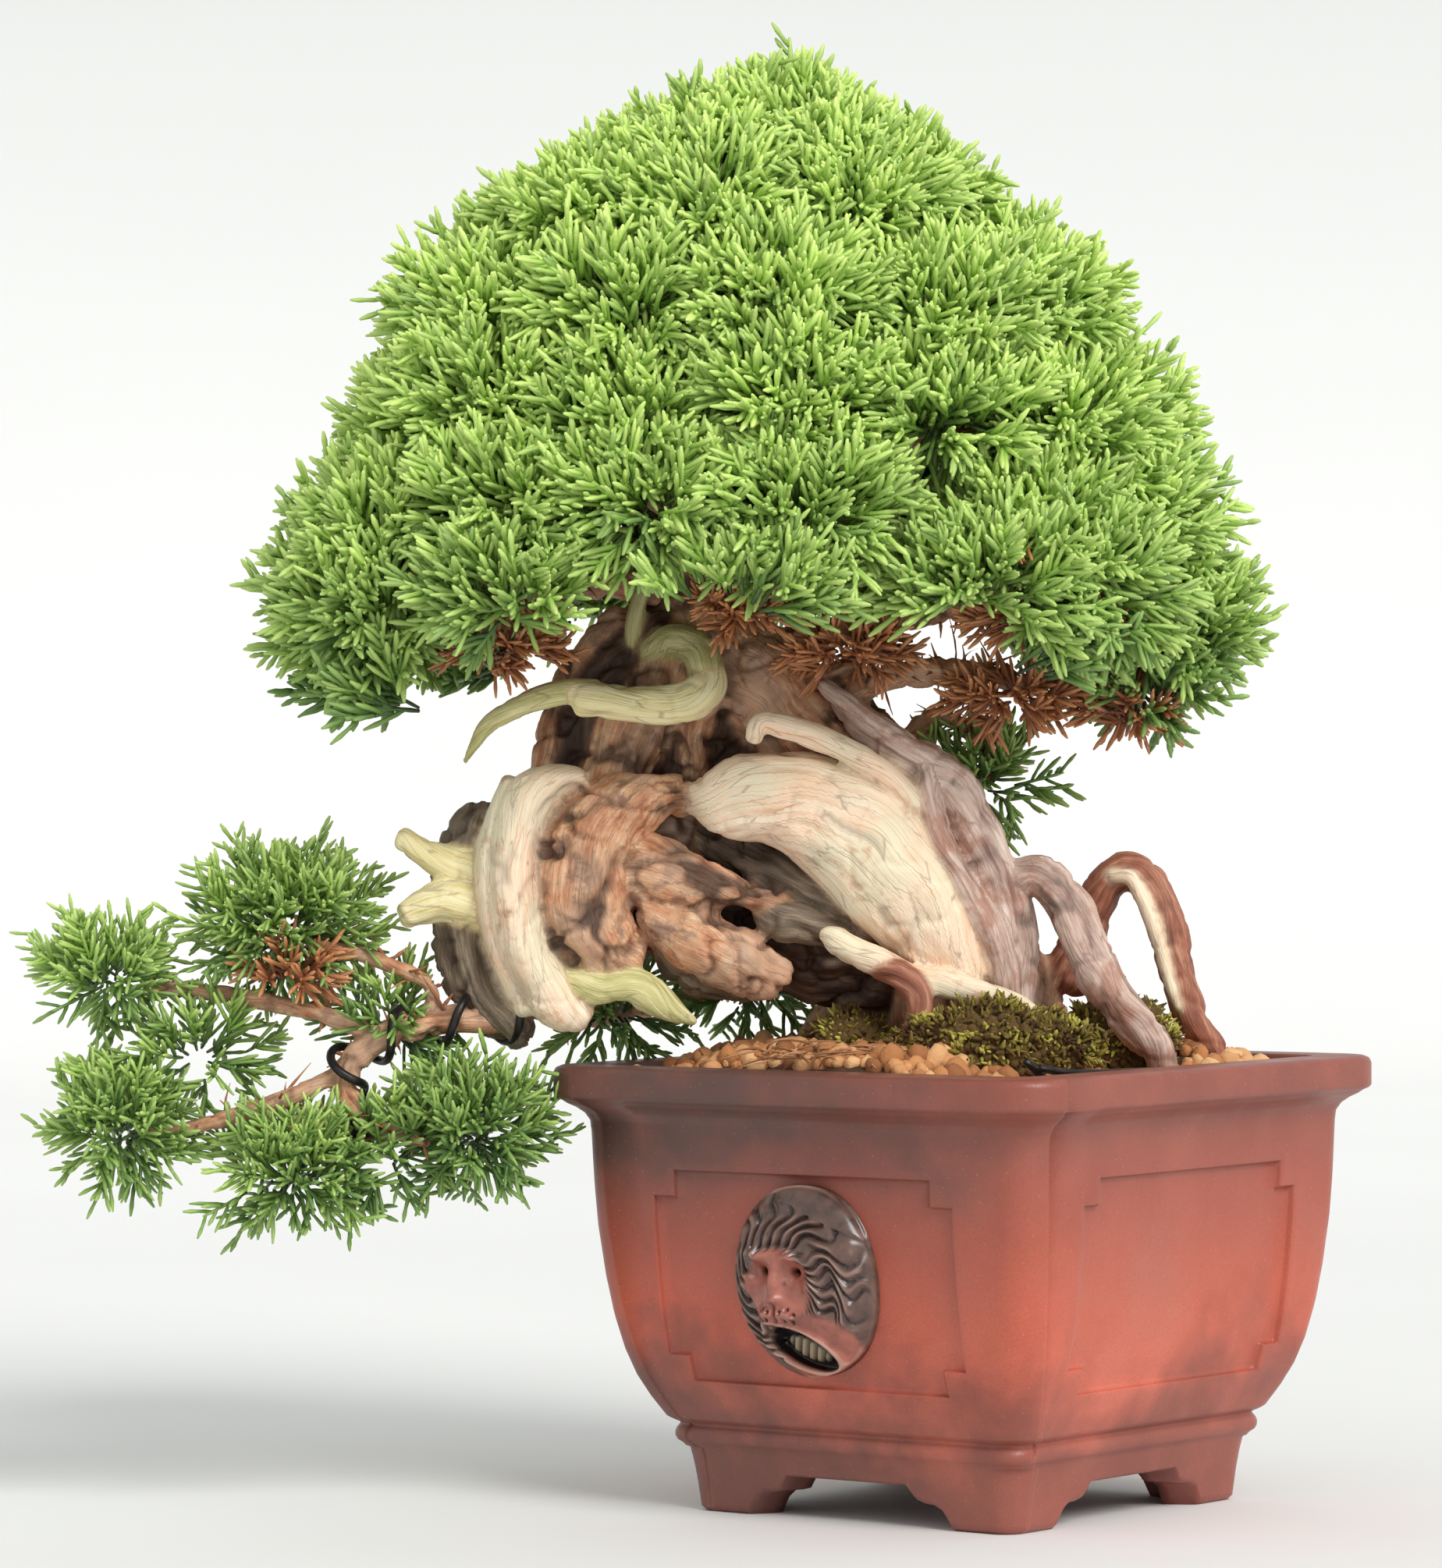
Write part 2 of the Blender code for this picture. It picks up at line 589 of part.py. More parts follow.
DEADWOOD_TIPS = [
    [(-50, 0, 150, 5), (-45, -6, 149, 4), (-42, -11, 146, 3.8), (-47, -13, 141.5, 3.8),
     (-57, -13, 140.5, 3.2), (-67, -12, 141, 2.6), (-78, -10, 137, 2.2), (-86, -8, 131, 1.4)],
    [(-80, -4, 110, 5), (-91, -6, 114, 3.2), (-99, -7, 116, 2.4)],
    [(-82, -4, 105, 5), (-91, -7, 107, 3.8), (-97, -8, 104.5, 3.0)],
    [(-68, -8, 94, 5), (-59, -12, 89.5, 3.2), (-47, -14, 85.5, 1.6)],
    [(-24, -4, 144, 5), (-18, -8, 149, 2.4), (-16, -10, 151, 2.2)],
]


def past_the_corner():
    """How far the cascade moves out, along the tree's x, for the pot's real width."""
    return (RIM_WIDTH - TREE_POT_WIDTH) / 2 * (cos(TREE_TURN) + sin(TREE_TURN)) * 1000


def moved_out(stations):
    return [(x - past_the_corner(), *rest) for x, *rest in stations]


def cascade_limb():
    """The cascading branch, from its place in the trunk out past the pot's corner."""
    return [CASCADE[0], *moved_out(CASCADE[1:])]


def limb_route(limb, per_span):
    """Smooth positions and radii along a limb."""
    stations = smooth_path([millimetres(*station) for station in limb], per_span)
    return [station.to_3d() for station in stations], [station.w for station in stations]


def wood_mesh(name, limbs, swell, voxel, share, collection, material=None):
    """All the limbs as one grown skin, optionally swollen to make room round it."""
    bm = bmesh.new()
    for index, limb in enumerate(limbs):
        points, radii = limb_route(limb, 3)
        radii = [radius + swell for radius in radii]
        points[0] += (points[0] - points[1]).normalized() * swell * 1.5
        points[-1] += (points[-1] - points[-2]).normalized() * swell * 1.5
        tube = curve_object(f"{name}_limb_{index}", points, radii, collection)
        solid = curve_to_mesh(tube, collection)
        bm.from_mesh(solid.data)
        bpy.data.objects.remove(solid, do_unlink=True)
    wood = bmesh_object(name, bm, collection, material)
    skin = wood.modifiers.new("skin", "REMESH")
    skin.mode = "VOXEL"
    skin.voxel_size = voxel
    fewer = wood.modifiers.new("fewer faces", "DECIMATE")
    fewer.ratio = share
    return wood


def all_limbs():
    forks = [moved_out(fork) for fork in CASCADE_FORKS]
    return [*TRUNK, *SURFACE_ROOTS, *BRANCHES, BACK_BRANCH, cascade_limb(), *forks, *DEADWOOD_TIPS]


def make_tree(parts, cutters, material):
    tree = wood_mesh("tree", all_limbs(), 0.0, WOOD_VOXEL, WOOD_DETAIL, parts, material)
    room = wood_mesh("wood_room", all_limbs(), WOOD_CLEARANCE, WOOD_VOXEL * 1.5, ROOM_DETAIL,
                     cutters)
    return tree, as_cutter(room)


def cascade_coil():
    """The training wire's turns round the cascading branch."""
    per_span = 8
    route, widths = limb_route(cascade_limb(), per_span)
    steps = [after - before for before, after in zip(route, route[1:])]
    coil = []
    start, travelled = per_span, 0.0
    while travelled - steps[start - 1].length >= -COIL_LEAD:
        start -= 1
        travelled -= steps[start].length
    for i in range(start, len(steps) + 1 - COIL_END):
        forward = steps[i].normalized()
        side = forward.cross(Vector((0, 1, 0))).normalized()
        up = side.cross(forward)
        turn = COIL_PHASE + tau * travelled / COIL_PITCH
        reach = widths[i] + TRAINING_WIRE / 2 + COIL_CLEARANCE
        coil.append(route[i] + (side * cos(turn) + up * sin(turn)) * reach)
        travelled += steps[i].length
    return coil


def make_training_wire(parts, material):
    path = cascade_coil()
    return curve_object("training_wire", path, [TRAINING_WIRE / 2] * len(path), parts, material)


# ---------------------------------------------------------------- foliage

# Each clump: centre x, y, z and half sizes x, y, z in millimetres, in the tree's own axes.
FOLIAGE = {
    "foliage_apex": ((-32, 0, 238), (29, 26, 13)),
    "foliage_upper_left": ((-80, 2, 212), (24, 25, 13)),
    "foliage_upper_right": ((9, 0, 211), (24, 24, 14)),
    "foliage_upper_front": ((-36, -30, 211), (23, 19, 13)),
    "foliage_upper_back": ((-36, 31, 211), (24, 19, 13)),
    "foliage_middle_left": ((-98, -2, 183), (22, 28, 14)),
    "foliage_middle_front_left": ((-62, -38, 183), (23, 19, 14)),
    "foliage_middle_front_right": ((-15, -38, 184), (23, 20, 13)),
    "foliage_middle_right": ((27, -4, 182), (22, 26, 14)),
    "foliage_middle_back_left": ((-62, 38, 184), (23, 19, 14)),
    "foliage_middle_back_right": ((-13, 38, 184), (24, 19, 13)),
    "foliage_low_left": ((-103, -2, 152), (24, 28, 15)),
    "foliage_low_right": ((33, -4, 151), (25, 27, 15)),
    "foliage_low_front": ((-33, -40, 158), (30, 17, 10)),
    "foliage_low_back": ((-33, 42, 156), (34, 19, 11)),
    "foliage_hanging_sprig": ((3, 7, 126), (12, 8, 9)),
    "foliage_behind_trunk": ((-37, 27, 91), (15, 9, 9)),
}
CASCADE_FOLIAGE = {
    "foliage_cascade_upper": ((-119, -3, 102), (18, 15, 12)),
    "foliage_cascade_tip": ((-150, -4, 93), (12, 12, 9)),
    "foliage_cascade_far": ((-147, -6, 67), (12, 13, 12)),
    "foliage_cascade_low": ((-117, -9, 59), (16, 14, 9)),
    "foliage_cascade_near": ((-86, -9, 66), (14, 13, 12)),
}


def make_clump(name, centre, halves, room, parts, material):
    """A rounded clump of foliage, a little uneven, with room for the branch that carries it."""
    bm = bmesh.new()
    bmesh.ops.create_cube(bm, size=2.0)
    bmesh.ops.subdivide_edges(bm, edges=bm.edges, cuts=1, use_grid_fill=True)
    phase = centre[0] * 0.37 + centre[1] * 0.53
    for vert in bm.verts:
        direction = vert.co.normalized()
        uneven = 1.0 + 0.05 * sin(5 * direction.x + phase) + 0.05 * cos(4 * direction.y - phase)
        vert.co = direction * uneven
        vert.co = Vector([c * h for c, h in zip(vert.co, halves)]) * 1.04 / 1000
    bmesh.ops.translate(bm, vec=millimetres(*centre), verts=bm.verts)
    clump = bmesh_object(name, bm, parts, material)
    rounding = clump.modifiers.new("rounding", "SUBSURF")
    rounding.levels = 1
    rounding.render_levels = 1
    boolean(clump, room)
    shade_round(clump, 60)
    return clump


# ---------------------------------------------------------------- soil and moss

MOSS = {
    "moss_front": ((6, -26, 79), (17, 7, 9)),
    "moss_right": ((26, -3, 79), (9, 7, 9)),
    "moss_left": ((-20, -8, 79), (8, 7, 8)),
}


def make_soil(parts, cutters, material, rooms):
    top = [(SOIL_LEVEL, rim_opening(GAP), 0.0035),
           (SOIL_LEVEL + SOIL_MOUND * 0.6, rim_opening() * 0.55, 0.010),
           (SOIL_LEVEL + SOIL_MOUND, rim_opening() * 0.25, 0.008)]
    shoulder = (SOIL_LEVEL - 0.004, rim_opening(GAP) - 0.001, 0.0035)
    soil = square_loft("soil", [*inside_profile(GAP), shoulder, *top], parts, material)
    width = 2 * (DRAIN_RADIUS + MESH_OVERLAP + MESH_POCKET)
    height = 2 * (MESH_BAR + CLIP_WIRE + MESH_POCKET + 0.0014)
    pocket = box("mesh_pocket", (width, width, height), (0, 0, FLOOR_TOP), cutters)
    boolean(soil, as_cutter(pocket))
    for room in rooms:
        boolean(soil, room)
    return soil


def soil_core(cutters):
    """The soil's outline, a little larger, to keep moss cushions on top of it."""
    half = RIM_WIDTH / 2
    flat = SOIL_LEVEL + GAP
    sections = [(SOIL_LEVEL - 0.020, half, 0.004), (flat, rim_opening(GAP) + 0.001, 0.0035),
                (flat + SOIL_MOUND * 0.6, rim_opening() * 0.55, 0.010),
                (flat + SOIL_MOUND, rim_opening() * 0.25, 0.008)]
    return as_cutter(square_loft("soil_surface", sections, cutters))


def make_moss(name, centre, halves, rooms, parts, material):
    bm = bmesh.new()
    bmesh.ops.create_uvsphere(bm, u_segments=14, v_segments=8, radius=1.0)
    bmesh.ops.scale(bm, vec=millimetres(*halves), verts=bm.verts)
    bmesh.ops.translate(bm, vec=millimetres(*centre), verts=bm.verts)
    moss = bmesh_object(name, bm, parts, material)
    for room in rooms:
        boolean(moss, room)
    return moss


# ---------------------------------------------------------------- assembly

def centre_on_floor(root, collection):
    """Move everything so that the whole object's box stands centred on the origin."""
    bpy.context.view_layer.update()
    corners = []
    for obj in collection.objects:
        if obj.type in {"MESH", "CURVE"}:
            mesh = evaluated_mesh(obj)
            corners += [obj.matrix_world @ vert.co for vert in mesh.vertices]
            bpy.data.meshes.remove(mesh)
    for axis in (0, 1):
        low = min(corner[axis] for corner in corners)
        high = max(corner[axis] for corner in corners)
        root.location[axis] = -(low + high) / 2
    root.location[2] = -min(corner[2] for corner in corners)


def main():
    clear_scene()
    parts = new_collection("bonsai_in_pot")
    cutters = new_collection("cutters")

    stoneware = new_material("stoneware", (0.38, 0.09, 0.06), 0.5)
    mask_clay = new_material("mask_clay", (0.06, 0.03, 0.03), 0.35)
    soil_grains = new_material("soil_grains", (0.45, 0.25, 0.12), 0.95)
    moss_green = new_material("moss", (0.09, 0.11, 0.03), 0.95)
    wood = new_material("wood", (0.42, 0.28, 0.19), 0.8)
    foliage = new_material("foliage", (0.10, 0.28, 0.06), 0.6)
    black_wire = new_material("black_wire", (0.02, 0.02, 0.02), 0.4, 0.6)
    mesh_plastic = new_material("mesh_plastic", (0.03, 0.03, 0.03), 0.6)

    make_pot(parts, cutters, stoneware)
    wall_room = [(z, half - PANEL_DEPTH + GAP, corner) for z, half, corner in pot_profile()]
    mask_seat = as_cutter(square_loft("mask_seat", wall_room, cutters))
    make_mask("lion_mask_front", 0.0, mask_seat, parts, cutters, mask_clay)
    make_mask("lion_mask_back", pi, mask_seat, parts, cutters, mask_clay)

    make_drainage_mesh(parts, mesh_plastic)
    make_mesh_clip(parts, black_wire)
    _, tie_room = make_tie_wire(parts, cutters, black_wire)

    tree, wood_room = make_tree(parts, cutters, wood)
    grown = [tree, wood_room, make_training_wire(parts, black_wire)]
    for name, (centre, halves) in FOLIAGE.items():
        grown.append(make_clump(name, centre, halves, wood_room, parts, foliage))
    for name, (centre, halves) in CASCADE_FOLIAGE.items():
        [moved] = moved_out([centre])
        grown.append(make_clump(name, moved, halves, wood_room, parts, foliage))
    surface = soil_core(cutters)
    for name, (centre, halves) in MOSS.items():
        grown.append(make_moss(name, centre, halves, [surface, wood_room], parts, moss_green))
    make_soil(parts, cutters, soil_grains, [wood_room, tie_room])

    stand = bpy.data.objects.new("stand", None)
    bpy.context.scene.collection.objects.link(stand)
    tree_axis = bpy.data.objects.new("tree_axis", None)
    bpy.context.scene.collection.objects.link(tree_axis)
    tree_axis.rotation_euler = (0, 0, TREE_TURN)
    tree_axis.location = (0, 0, SOIL_LEVEL - TREE_SOIL_LINE)
    tree_axis.parent = stand
    for obj in [*parts.objects, *cutters.objects]:
        obj.parent = tree_axis if obj in grown else stand
    centre_on_floor(stand, parts)


main()
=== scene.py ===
"""The looks of a juniper bonsai in a square stoneware pot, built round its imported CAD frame.

Two sets of axes are used. The pot's are the frame's own, moved to the middle of the pot. The
tree's are turned about Z from them, x to the right of its front and y towards its back, and its
layout is in millimetres.
"""

from math import cos, pi, radians, sin, tau

import bmesh
import bpy
import numpy as np
from mathutils import Matrix, Vector


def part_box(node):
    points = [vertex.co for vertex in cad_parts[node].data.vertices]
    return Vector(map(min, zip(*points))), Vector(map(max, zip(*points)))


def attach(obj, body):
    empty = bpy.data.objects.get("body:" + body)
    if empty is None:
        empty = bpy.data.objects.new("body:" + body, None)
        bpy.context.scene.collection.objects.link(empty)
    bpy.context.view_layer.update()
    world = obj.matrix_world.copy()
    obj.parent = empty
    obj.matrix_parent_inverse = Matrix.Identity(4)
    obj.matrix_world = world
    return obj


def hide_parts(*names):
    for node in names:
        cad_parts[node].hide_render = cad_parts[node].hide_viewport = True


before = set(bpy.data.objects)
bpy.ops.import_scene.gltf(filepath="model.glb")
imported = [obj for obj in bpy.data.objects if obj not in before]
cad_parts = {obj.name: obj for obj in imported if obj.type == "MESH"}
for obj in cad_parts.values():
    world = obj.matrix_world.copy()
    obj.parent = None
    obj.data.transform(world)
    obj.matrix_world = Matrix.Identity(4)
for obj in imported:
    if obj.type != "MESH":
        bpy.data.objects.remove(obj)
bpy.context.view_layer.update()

TREE_TURN = radians(38.2)
POT_LOW, POT_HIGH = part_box("pot")
POT_CENTRE = Vector(((POT_LOW.x + POT_HIGH.x) / 2, (POT_LOW.y + POT_HIGH.y) / 2, 0.0))
POT_AXES = Matrix.Translation(POT_CENTRE)
TREE_AXES = POT_AXES @ Matrix.Rotation(TREE_TURN, 4, "Z")
MM = 0.001


# ---------------------------------------------------------------- shared helpers

def srgb(red, green, blue):
    """A linear colour from 0-255 screen values, by the standard sRGB curve."""
    return tuple(((c / 255 + 0.055) / 1.055) ** 2.4 if c > 10 else c / 3295
                 for c in (red, green, blue))


def placed(points, axes, scale=1.0):
    """Points in the given axes as points in the row frame."""
    turned = np.asarray(points, float) * scale @ np.array(axes.to_3x3()).T
    return turned + np.array(axes.translation)


def mesh_piece(name, points, face_sets, material, replaces=()):
    """A piece made of faces, each set an array of vertex indices, one row to a face."""
    mesh = bpy.data.meshes.new(name)
    mesh.vertices.add(len(points))
    mesh.vertices.foreach_set("co", np.asarray(points, np.float32).ravel())
    corners = np.concatenate([faces.ravel() for faces in face_sets])
    sizes = np.concatenate([np.full(len(faces), faces.shape[1]) for faces in face_sets])
    mesh.loops.add(len(corners))
    mesh.loops.foreach_set("vertex_index", corners.astype(np.int32))
    mesh.polygons.add(len(sizes))
    starts = np.concatenate([[0], np.cumsum(sizes)[:-1]])
    mesh.polygons.foreach_set("loop_start", starts.astype(np.int32))
    mesh.polygons.foreach_set("use_smooth", np.ones(len(sizes), bool))
    mesh.update(calc_edges=True)
    mesh.validate()
    return finish_piece(bpy.data.objects.new(name, mesh), material, replaces)


def finish_piece(obj, material, replaces=()):
    """A new object put in the scene with its material, slot and the CAD nodes it stands for."""
    bpy.context.scene.collection.objects.link(obj)
    obj.data.materials.clear()
    obj.data.materials.append(material)
    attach(obj, "root")
    if replaces:
        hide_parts(*replaces)
    return obj


def point_values(mesh, name, values):
    """A value at each point that a material can read by name."""
    attribute = mesh.attributes.new(name, "FLOAT", "POINT")
    attribute.data.foreach_set("value", np.asarray(values, np.float32))


def lattice_values(cells, seed):
    """A repeatable value from -1 to 1 for each whole-numbered cell."""
    x, y, z = (cells[:, i].astype(np.int64) for i in range(3))
    mixed = (x * 73856093) ^ (y * 19349663) ^ (z * 83492791) ^ (seed * 2654435761)
    mixed = (mixed ^ (mixed >> 13)) * 1274126177
    return ((mixed ^ (mixed >> 16)) & 0xFFFF) / 32767.5 - 1.0


def noise(points, seed=0):
    """Smooth noise from -1 to 1 at each point, with features about one unit across."""
    cell = np.floor(points)
    t = points - cell
    t = t * t * (3 - 2 * t)
    total = np.zeros(len(points))
    for corner in np.ndindex(2, 2, 2):
        weight = np.prod([t[:, i] if c else 1 - t[:, i] for i, c in enumerate(corner)], axis=0)
        total += weight * lattice_values(cell + corner, seed)
    return total


def smooth_path(stations, per_span):
    """Stations along a Catmull-Rom curve through the given ones, all columns alike."""
    stations = np.asarray(stations, float)
    ends = np.vstack([2 * stations[0] - stations[1], stations, 2 * stations[-1] - stations[-2]])
    path = []
    for a, b, c, d in zip(ends, ends[1:], ends[2:], ends[3:]):
        t = np.arange(per_span)[:, None] / per_span
        path.append((2 * b + (c - a) * t + (2 * a - 5 * b + 4 * c - d) * t ** 2
                     + (3 * b - a - 3 * c + d) * t ** 3) / 2)
    return np.vstack(path + [stations[-1:]])


def grid_faces(rows, columns, rows_close=False, columns_close=True):
    """Quads of a grid of points, row by row, which may close on itself either way."""
    row, column = np.meshgrid(np.arange(rows if rows_close else rows - 1),
                              np.arange(columns if columns_close else columns - 1), indexing="ij")
    above, beside = (row + 1) % rows * columns, (column + 1) % columns
    row = row * columns
    return np.stack([row + column, row + beside, above + beside, above + column], -1).reshape(-1, 4)


def unit(vectors):
    vectors = np.asarray(vectors, float)
    return vectors / np.maximum(np.linalg.norm(vectors, axis=-1, keepdims=True), 1e-12)


def blend_in(value, low, high):
    """0 below low, 1 above high, smooth between."""
    t = np.clip((value - low) / (high - low), 0.0, 1.0)
    return t * t * (3 - 2 * t)


# ---------------------------------------------------------------- material helpers

def node(tree, kind, inputs=None, **settings):
    made = tree.nodes.new("ShaderNode" + kind)
    for key, value in settings.items():
        setattr(made, key, value)
    for key, value in (inputs or {}).items():
        if isinstance(value, bpy.types.NodeSocket):
            tree.links.new(value, made.inputs[key])
        else:
            made.inputs[key].default_value = value
    return made


def texture(tree, kind, vector, scale, settings=None, **inputs):
    """One value of a Noise, Voronoi or other texture at a place."""
    made = node(tree, "Tex" + kind, {"Vector": vector, "Scale": scale, **inputs},
                **(settings or {}))
    return made.outputs[0]


def ramp(tree, factor, *stops):
    """A colour for each value. Each stop is a place from 0 to 1 and a colour."""
    made = node(tree, "ValToRGB", {"Fac": factor})
    points = made.color_ramp.elements
    while len(points) < len(stops):
        points.new(0.5)
    for point, (place, colour) in zip(points, stops):
        point.position = place
        point.color = (*colour, 1.0)
    return made.outputs[0]


def grade(tree, factor, low, high, start=0.0, end=1.0):
    """A value that goes from start to end as the factor goes from low to high."""
    made = node(tree, "MapRange", {"Value": factor, "From Min": low, "From Max": high,
                                   "To Min": start, "To Max": end})
    return made.outputs[0]


def mix(tree, factor, first, second):
    """The first colour or value going to the second as the factor goes from 0 to 1."""
    made = node(tree, "Mix", data_type="RGBA")
    for key, value in ((0, factor), (6, first), (7, second)):
        if isinstance(value, bpy.types.NodeSocket):
            tree.links.new(value, made.inputs[key])
        elif key == 0:
            made.inputs[key].default_value = value
        else:
            made.inputs[key].default_value = (*value, 1.0)
    return made.outputs[2]


def maths(tree, operation, first, second):
    made = node(tree, "Math", {0: first, 1: second}, operation=operation)
    return made.outputs[0]


def bump(tree, height, strength, distance):
    made = node(tree, "Bump", {"Height": height, "Strength": strength, "Distance": distance})
    return made.outputs[0]


def new_material(name, roughness=0.5, **sockets):
    """A material with its shader's plain values set, and its node tree and shader."""
    made = bpy.data.materials.new(name)
    made.use_nodes = True
    tree = made.node_tree
    shader = tree.nodes["Principled BSDF"]
    shader.inputs["Roughness"].default_value = roughness
    for key, value in sockets.items():
        shader.inputs[key.replace("_", " ")].default_value = value
    return made, tree, shader


def place_in(tree):
    """The place on the object, in metres."""
    return node(tree, "TexCoord").outputs["Object"]


def attribute(tree, name):
    return node(tree, "Attribute", attribute_name=name).outputs["Fac"]


# ---------------------------------------------------------------- camera, light and floor

CAMERA_AT = (-0.0416, -1.1463, 0.1314)     # in the tree's axes
CAMERA_YAW = radians(0.04)
CAMERA_PITCH = radians(-0.234)
CAMERA_ROLL = radians(-0.441)
LENS_MM, SENSOR_MM = 150.0, 36.0

KEY_ENERGY = 2.2
KEY_ANGLE = radians(28)                    # how wide the key looks, which softens its shadows
KEY_COLOUR = (1.0, 0.985, 0.96)
KEY_FROM = (0.46, -0.74, 0.64)             # in the tree's axes
SKY_COLOUR, SKY_STRENGTH = (0.88, 0.885, 0.88, 1.0), 0.80

FLOOR_REACH = 6.0
BACKDROP_START, BACKDROP_BEND = 1.4, 0.8   # where the floor starts to rise, and its radius


def make_camera():
    data = bpy.data.cameras.new("camera")
    data.lens = LENS_MM
    data.sensor_width = SENSOR_MM
    data.sensor_fit = "AUTO"
    camera = bpy.data.objects.new("camera", data)
    bpy.context.scene.collection.objects.link(camera)
    camera.matrix_world = (TREE_AXES @ Matrix.Translation(CAMERA_AT)
                           @ Matrix.Rotation(CAMERA_YAW, 4, "Z")
                           @ Matrix.Rotation(pi / 2 + CAMERA_PITCH, 4, "X")
                           @ Matrix.Rotation(CAMERA_ROLL, 4, "Z"))
    bpy.context.scene.camera = camera


def make_lights():
    """A broad key from the right front, and an even sky."""
    data = bpy.data.lights.new("key", "SUN")
    data.energy = KEY_ENERGY
    data.angle = KEY_ANGLE
    data.color = KEY_COLOUR
    key = bpy.data.objects.new("key", data)
    bpy.context.scene.collection.objects.link(key)
    towards = TREE_AXES.to_3x3() @ Vector(KEY_FROM)
    key.matrix_world = towards.to_track_quat("Z", "Y").to_matrix().to_4x4()
    world = bpy.data.worlds.new("studio")
    world.use_nodes = True
    sky = world.node_tree.nodes["Background"]
    sky.inputs["Color"].default_value = SKY_COLOUR
    sky.inputs["Strength"].default_value = SKY_STRENGTH
    bpy.context.scene.world = world
    bpy.context.scene.view_settings.view_transform = "Standard"


def make_floor():
    """A pale floor that curves up into a backdrop far behind the object."""
    made, tree, shader = new_material("studio_paper", 0.9)
    place = place_in(tree)
    speckle = texture(tree, "Noise", place, 3.0)
    paper = ramp(tree, speckle, (0.3, srgb(228, 229, 228)), (0.7, srgb(233, 234, 233)))
    height = node(tree, "SeparateXYZ", {"Vector": place}).outputs["Z"]
    # Painted shade: the paper darkens going up the backdrop, which faces the key.
    paper = mix(tree, grade(tree, height, 0.02, 0.6), paper, srgb(203, 205, 204))
    tree.links.new(paper, shader.inputs["Base Color"])
    run = [(-FLOOR_REACH, 0.0), (BACKDROP_START, 0.0)]
    run += [(BACKDROP_START + BACKDROP_BEND * sin(a), BACKDROP_BEND * (1 - cos(a)))
            for a in np.linspace(0.1, pi / 2, 12)]
    run += [(BACKDROP_START + BACKDROP_BEND, FLOOR_REACH)]
    points = [(x, y, z) for y, z in run for x in (-FLOOR_REACH, FLOOR_REACH)]
    faces = [(2 * i, 2 * i + 1, 2 * i + 3, 2 * i + 2) for i in range(len(run) - 1)]
    mesh = bpy.data.meshes.new("floor")
    mesh.from_pydata([TREE_AXES @ Vector(p) for p in points], [], faces)
    mesh.shade_smooth()
    mesh.materials.append(made)
    floor = bpy.data.objects.new("floor", mesh)
    bpy.context.scene.collection.objects.link(floor)


# ---------------------------------------------------------------- pot

RIM_HALF = (POT_HIGH.x - POT_LOW.x) / 2
POT_HEIGHT = POT_HIGH.z
RIM_LIP = 0.009
WALL = 0.0045
FLOOR_TOP = 0.015
UNDERSIDE = 0.0095
FOOT_DEPTH = 0.006
FOOT_INSET, FOOT_CORNER = 0.0195, 0.0040   # of the feet's outer faces
DRAIN_RADIUS = 0.009
DRAIN_BEVEL = 0.0005
DRAIN_FLAT = 0.016                    # radius of the flat ring round the drain hole
SIDE_MIDDLE = 0.034                   # half of a side's evenly divided middle
CORNER_POINTS = 13
PANEL_HALF = 0.032
PANEL_LOW, PANEL_TOP = 0.0235, 0.0605
PANEL_STEP = 0.0045
PANEL_DEPTH = 0.0013
PANEL_EDGE = 0.00060                  # width of the slope round a panel
LEG, BRACKET = 0.0128, 0.0200         # how far a foot's leg and bracket run from the corner
LEG_RISE, APRON_RISE = 0.0048, 0.0073
PLINTH_START = 0.0112

# The outside of the pot: height, inset from the rim's outer face, and corner radius.
OUTSIDE = np.array([
    (0.0000, 0.0200, 0.0034), (0.0006, 0.0195, 0.0040), (0.0055, 0.0188, 0.0040),
    (0.0090, 0.0181, 0.0044), (0.0112, 0.0175, 0.0045), (0.0119, 0.0171, 0.0045),
    (0.0124, 0.0164, 0.0046), (0.0131, 0.0161, 0.0046), (0.0139, 0.0160, 0.0048),
    (0.0147, 0.0162, 0.0050), (0.0152, 0.0166, 0.0050), (0.0156, 0.0165, 0.0052),
    (0.0160, 0.0156, 0.0056), (0.0166, 0.0147, 0.0058), (0.0200, 0.0128, 0.0058),
    (0.0240, 0.0110, 0.0058), (0.0285, 0.0096, 0.0058), (0.0345, 0.0083, 0.0058),
    (0.0413, 0.0073, 0.0058), (0.0500, 0.0064, 0.0058), (0.0570, 0.0060, 0.0058),
    (0.0665, 0.0056, 0.0058), (0.0684, 0.0053, 0.0062), (0.0697, 0.0044, 0.0070),
    (0.0707, 0.0031, 0.0078), (0.0714, 0.0018, 0.0084), (0.0720, 0.0011, 0.0087),
    (0.0723, 0.0004, 0.0090), (0.0728, 0.0000, 0.0090), (0.0768, 0.0000, 0.0090),
    (0.0776, 0.0003, 0.0090), (0.0780, 0.0011, 0.0088),
])


def spread_rows(low, high, pitch, edges=(), fine=0.00011, reach=0.00045):
    """Heights from low to high, close together round each edge."""
    rows = list(np.arange(low, high, pitch)) + [high]
    for edge in edges:
        rows += list(np.arange(edge - reach, edge + reach, fine))
    rows = np.array(sorted(r for r in rows if low <= r <= high))
    return rows[np.concatenate([[True], np.diff(rows) > fine * 0.6])]


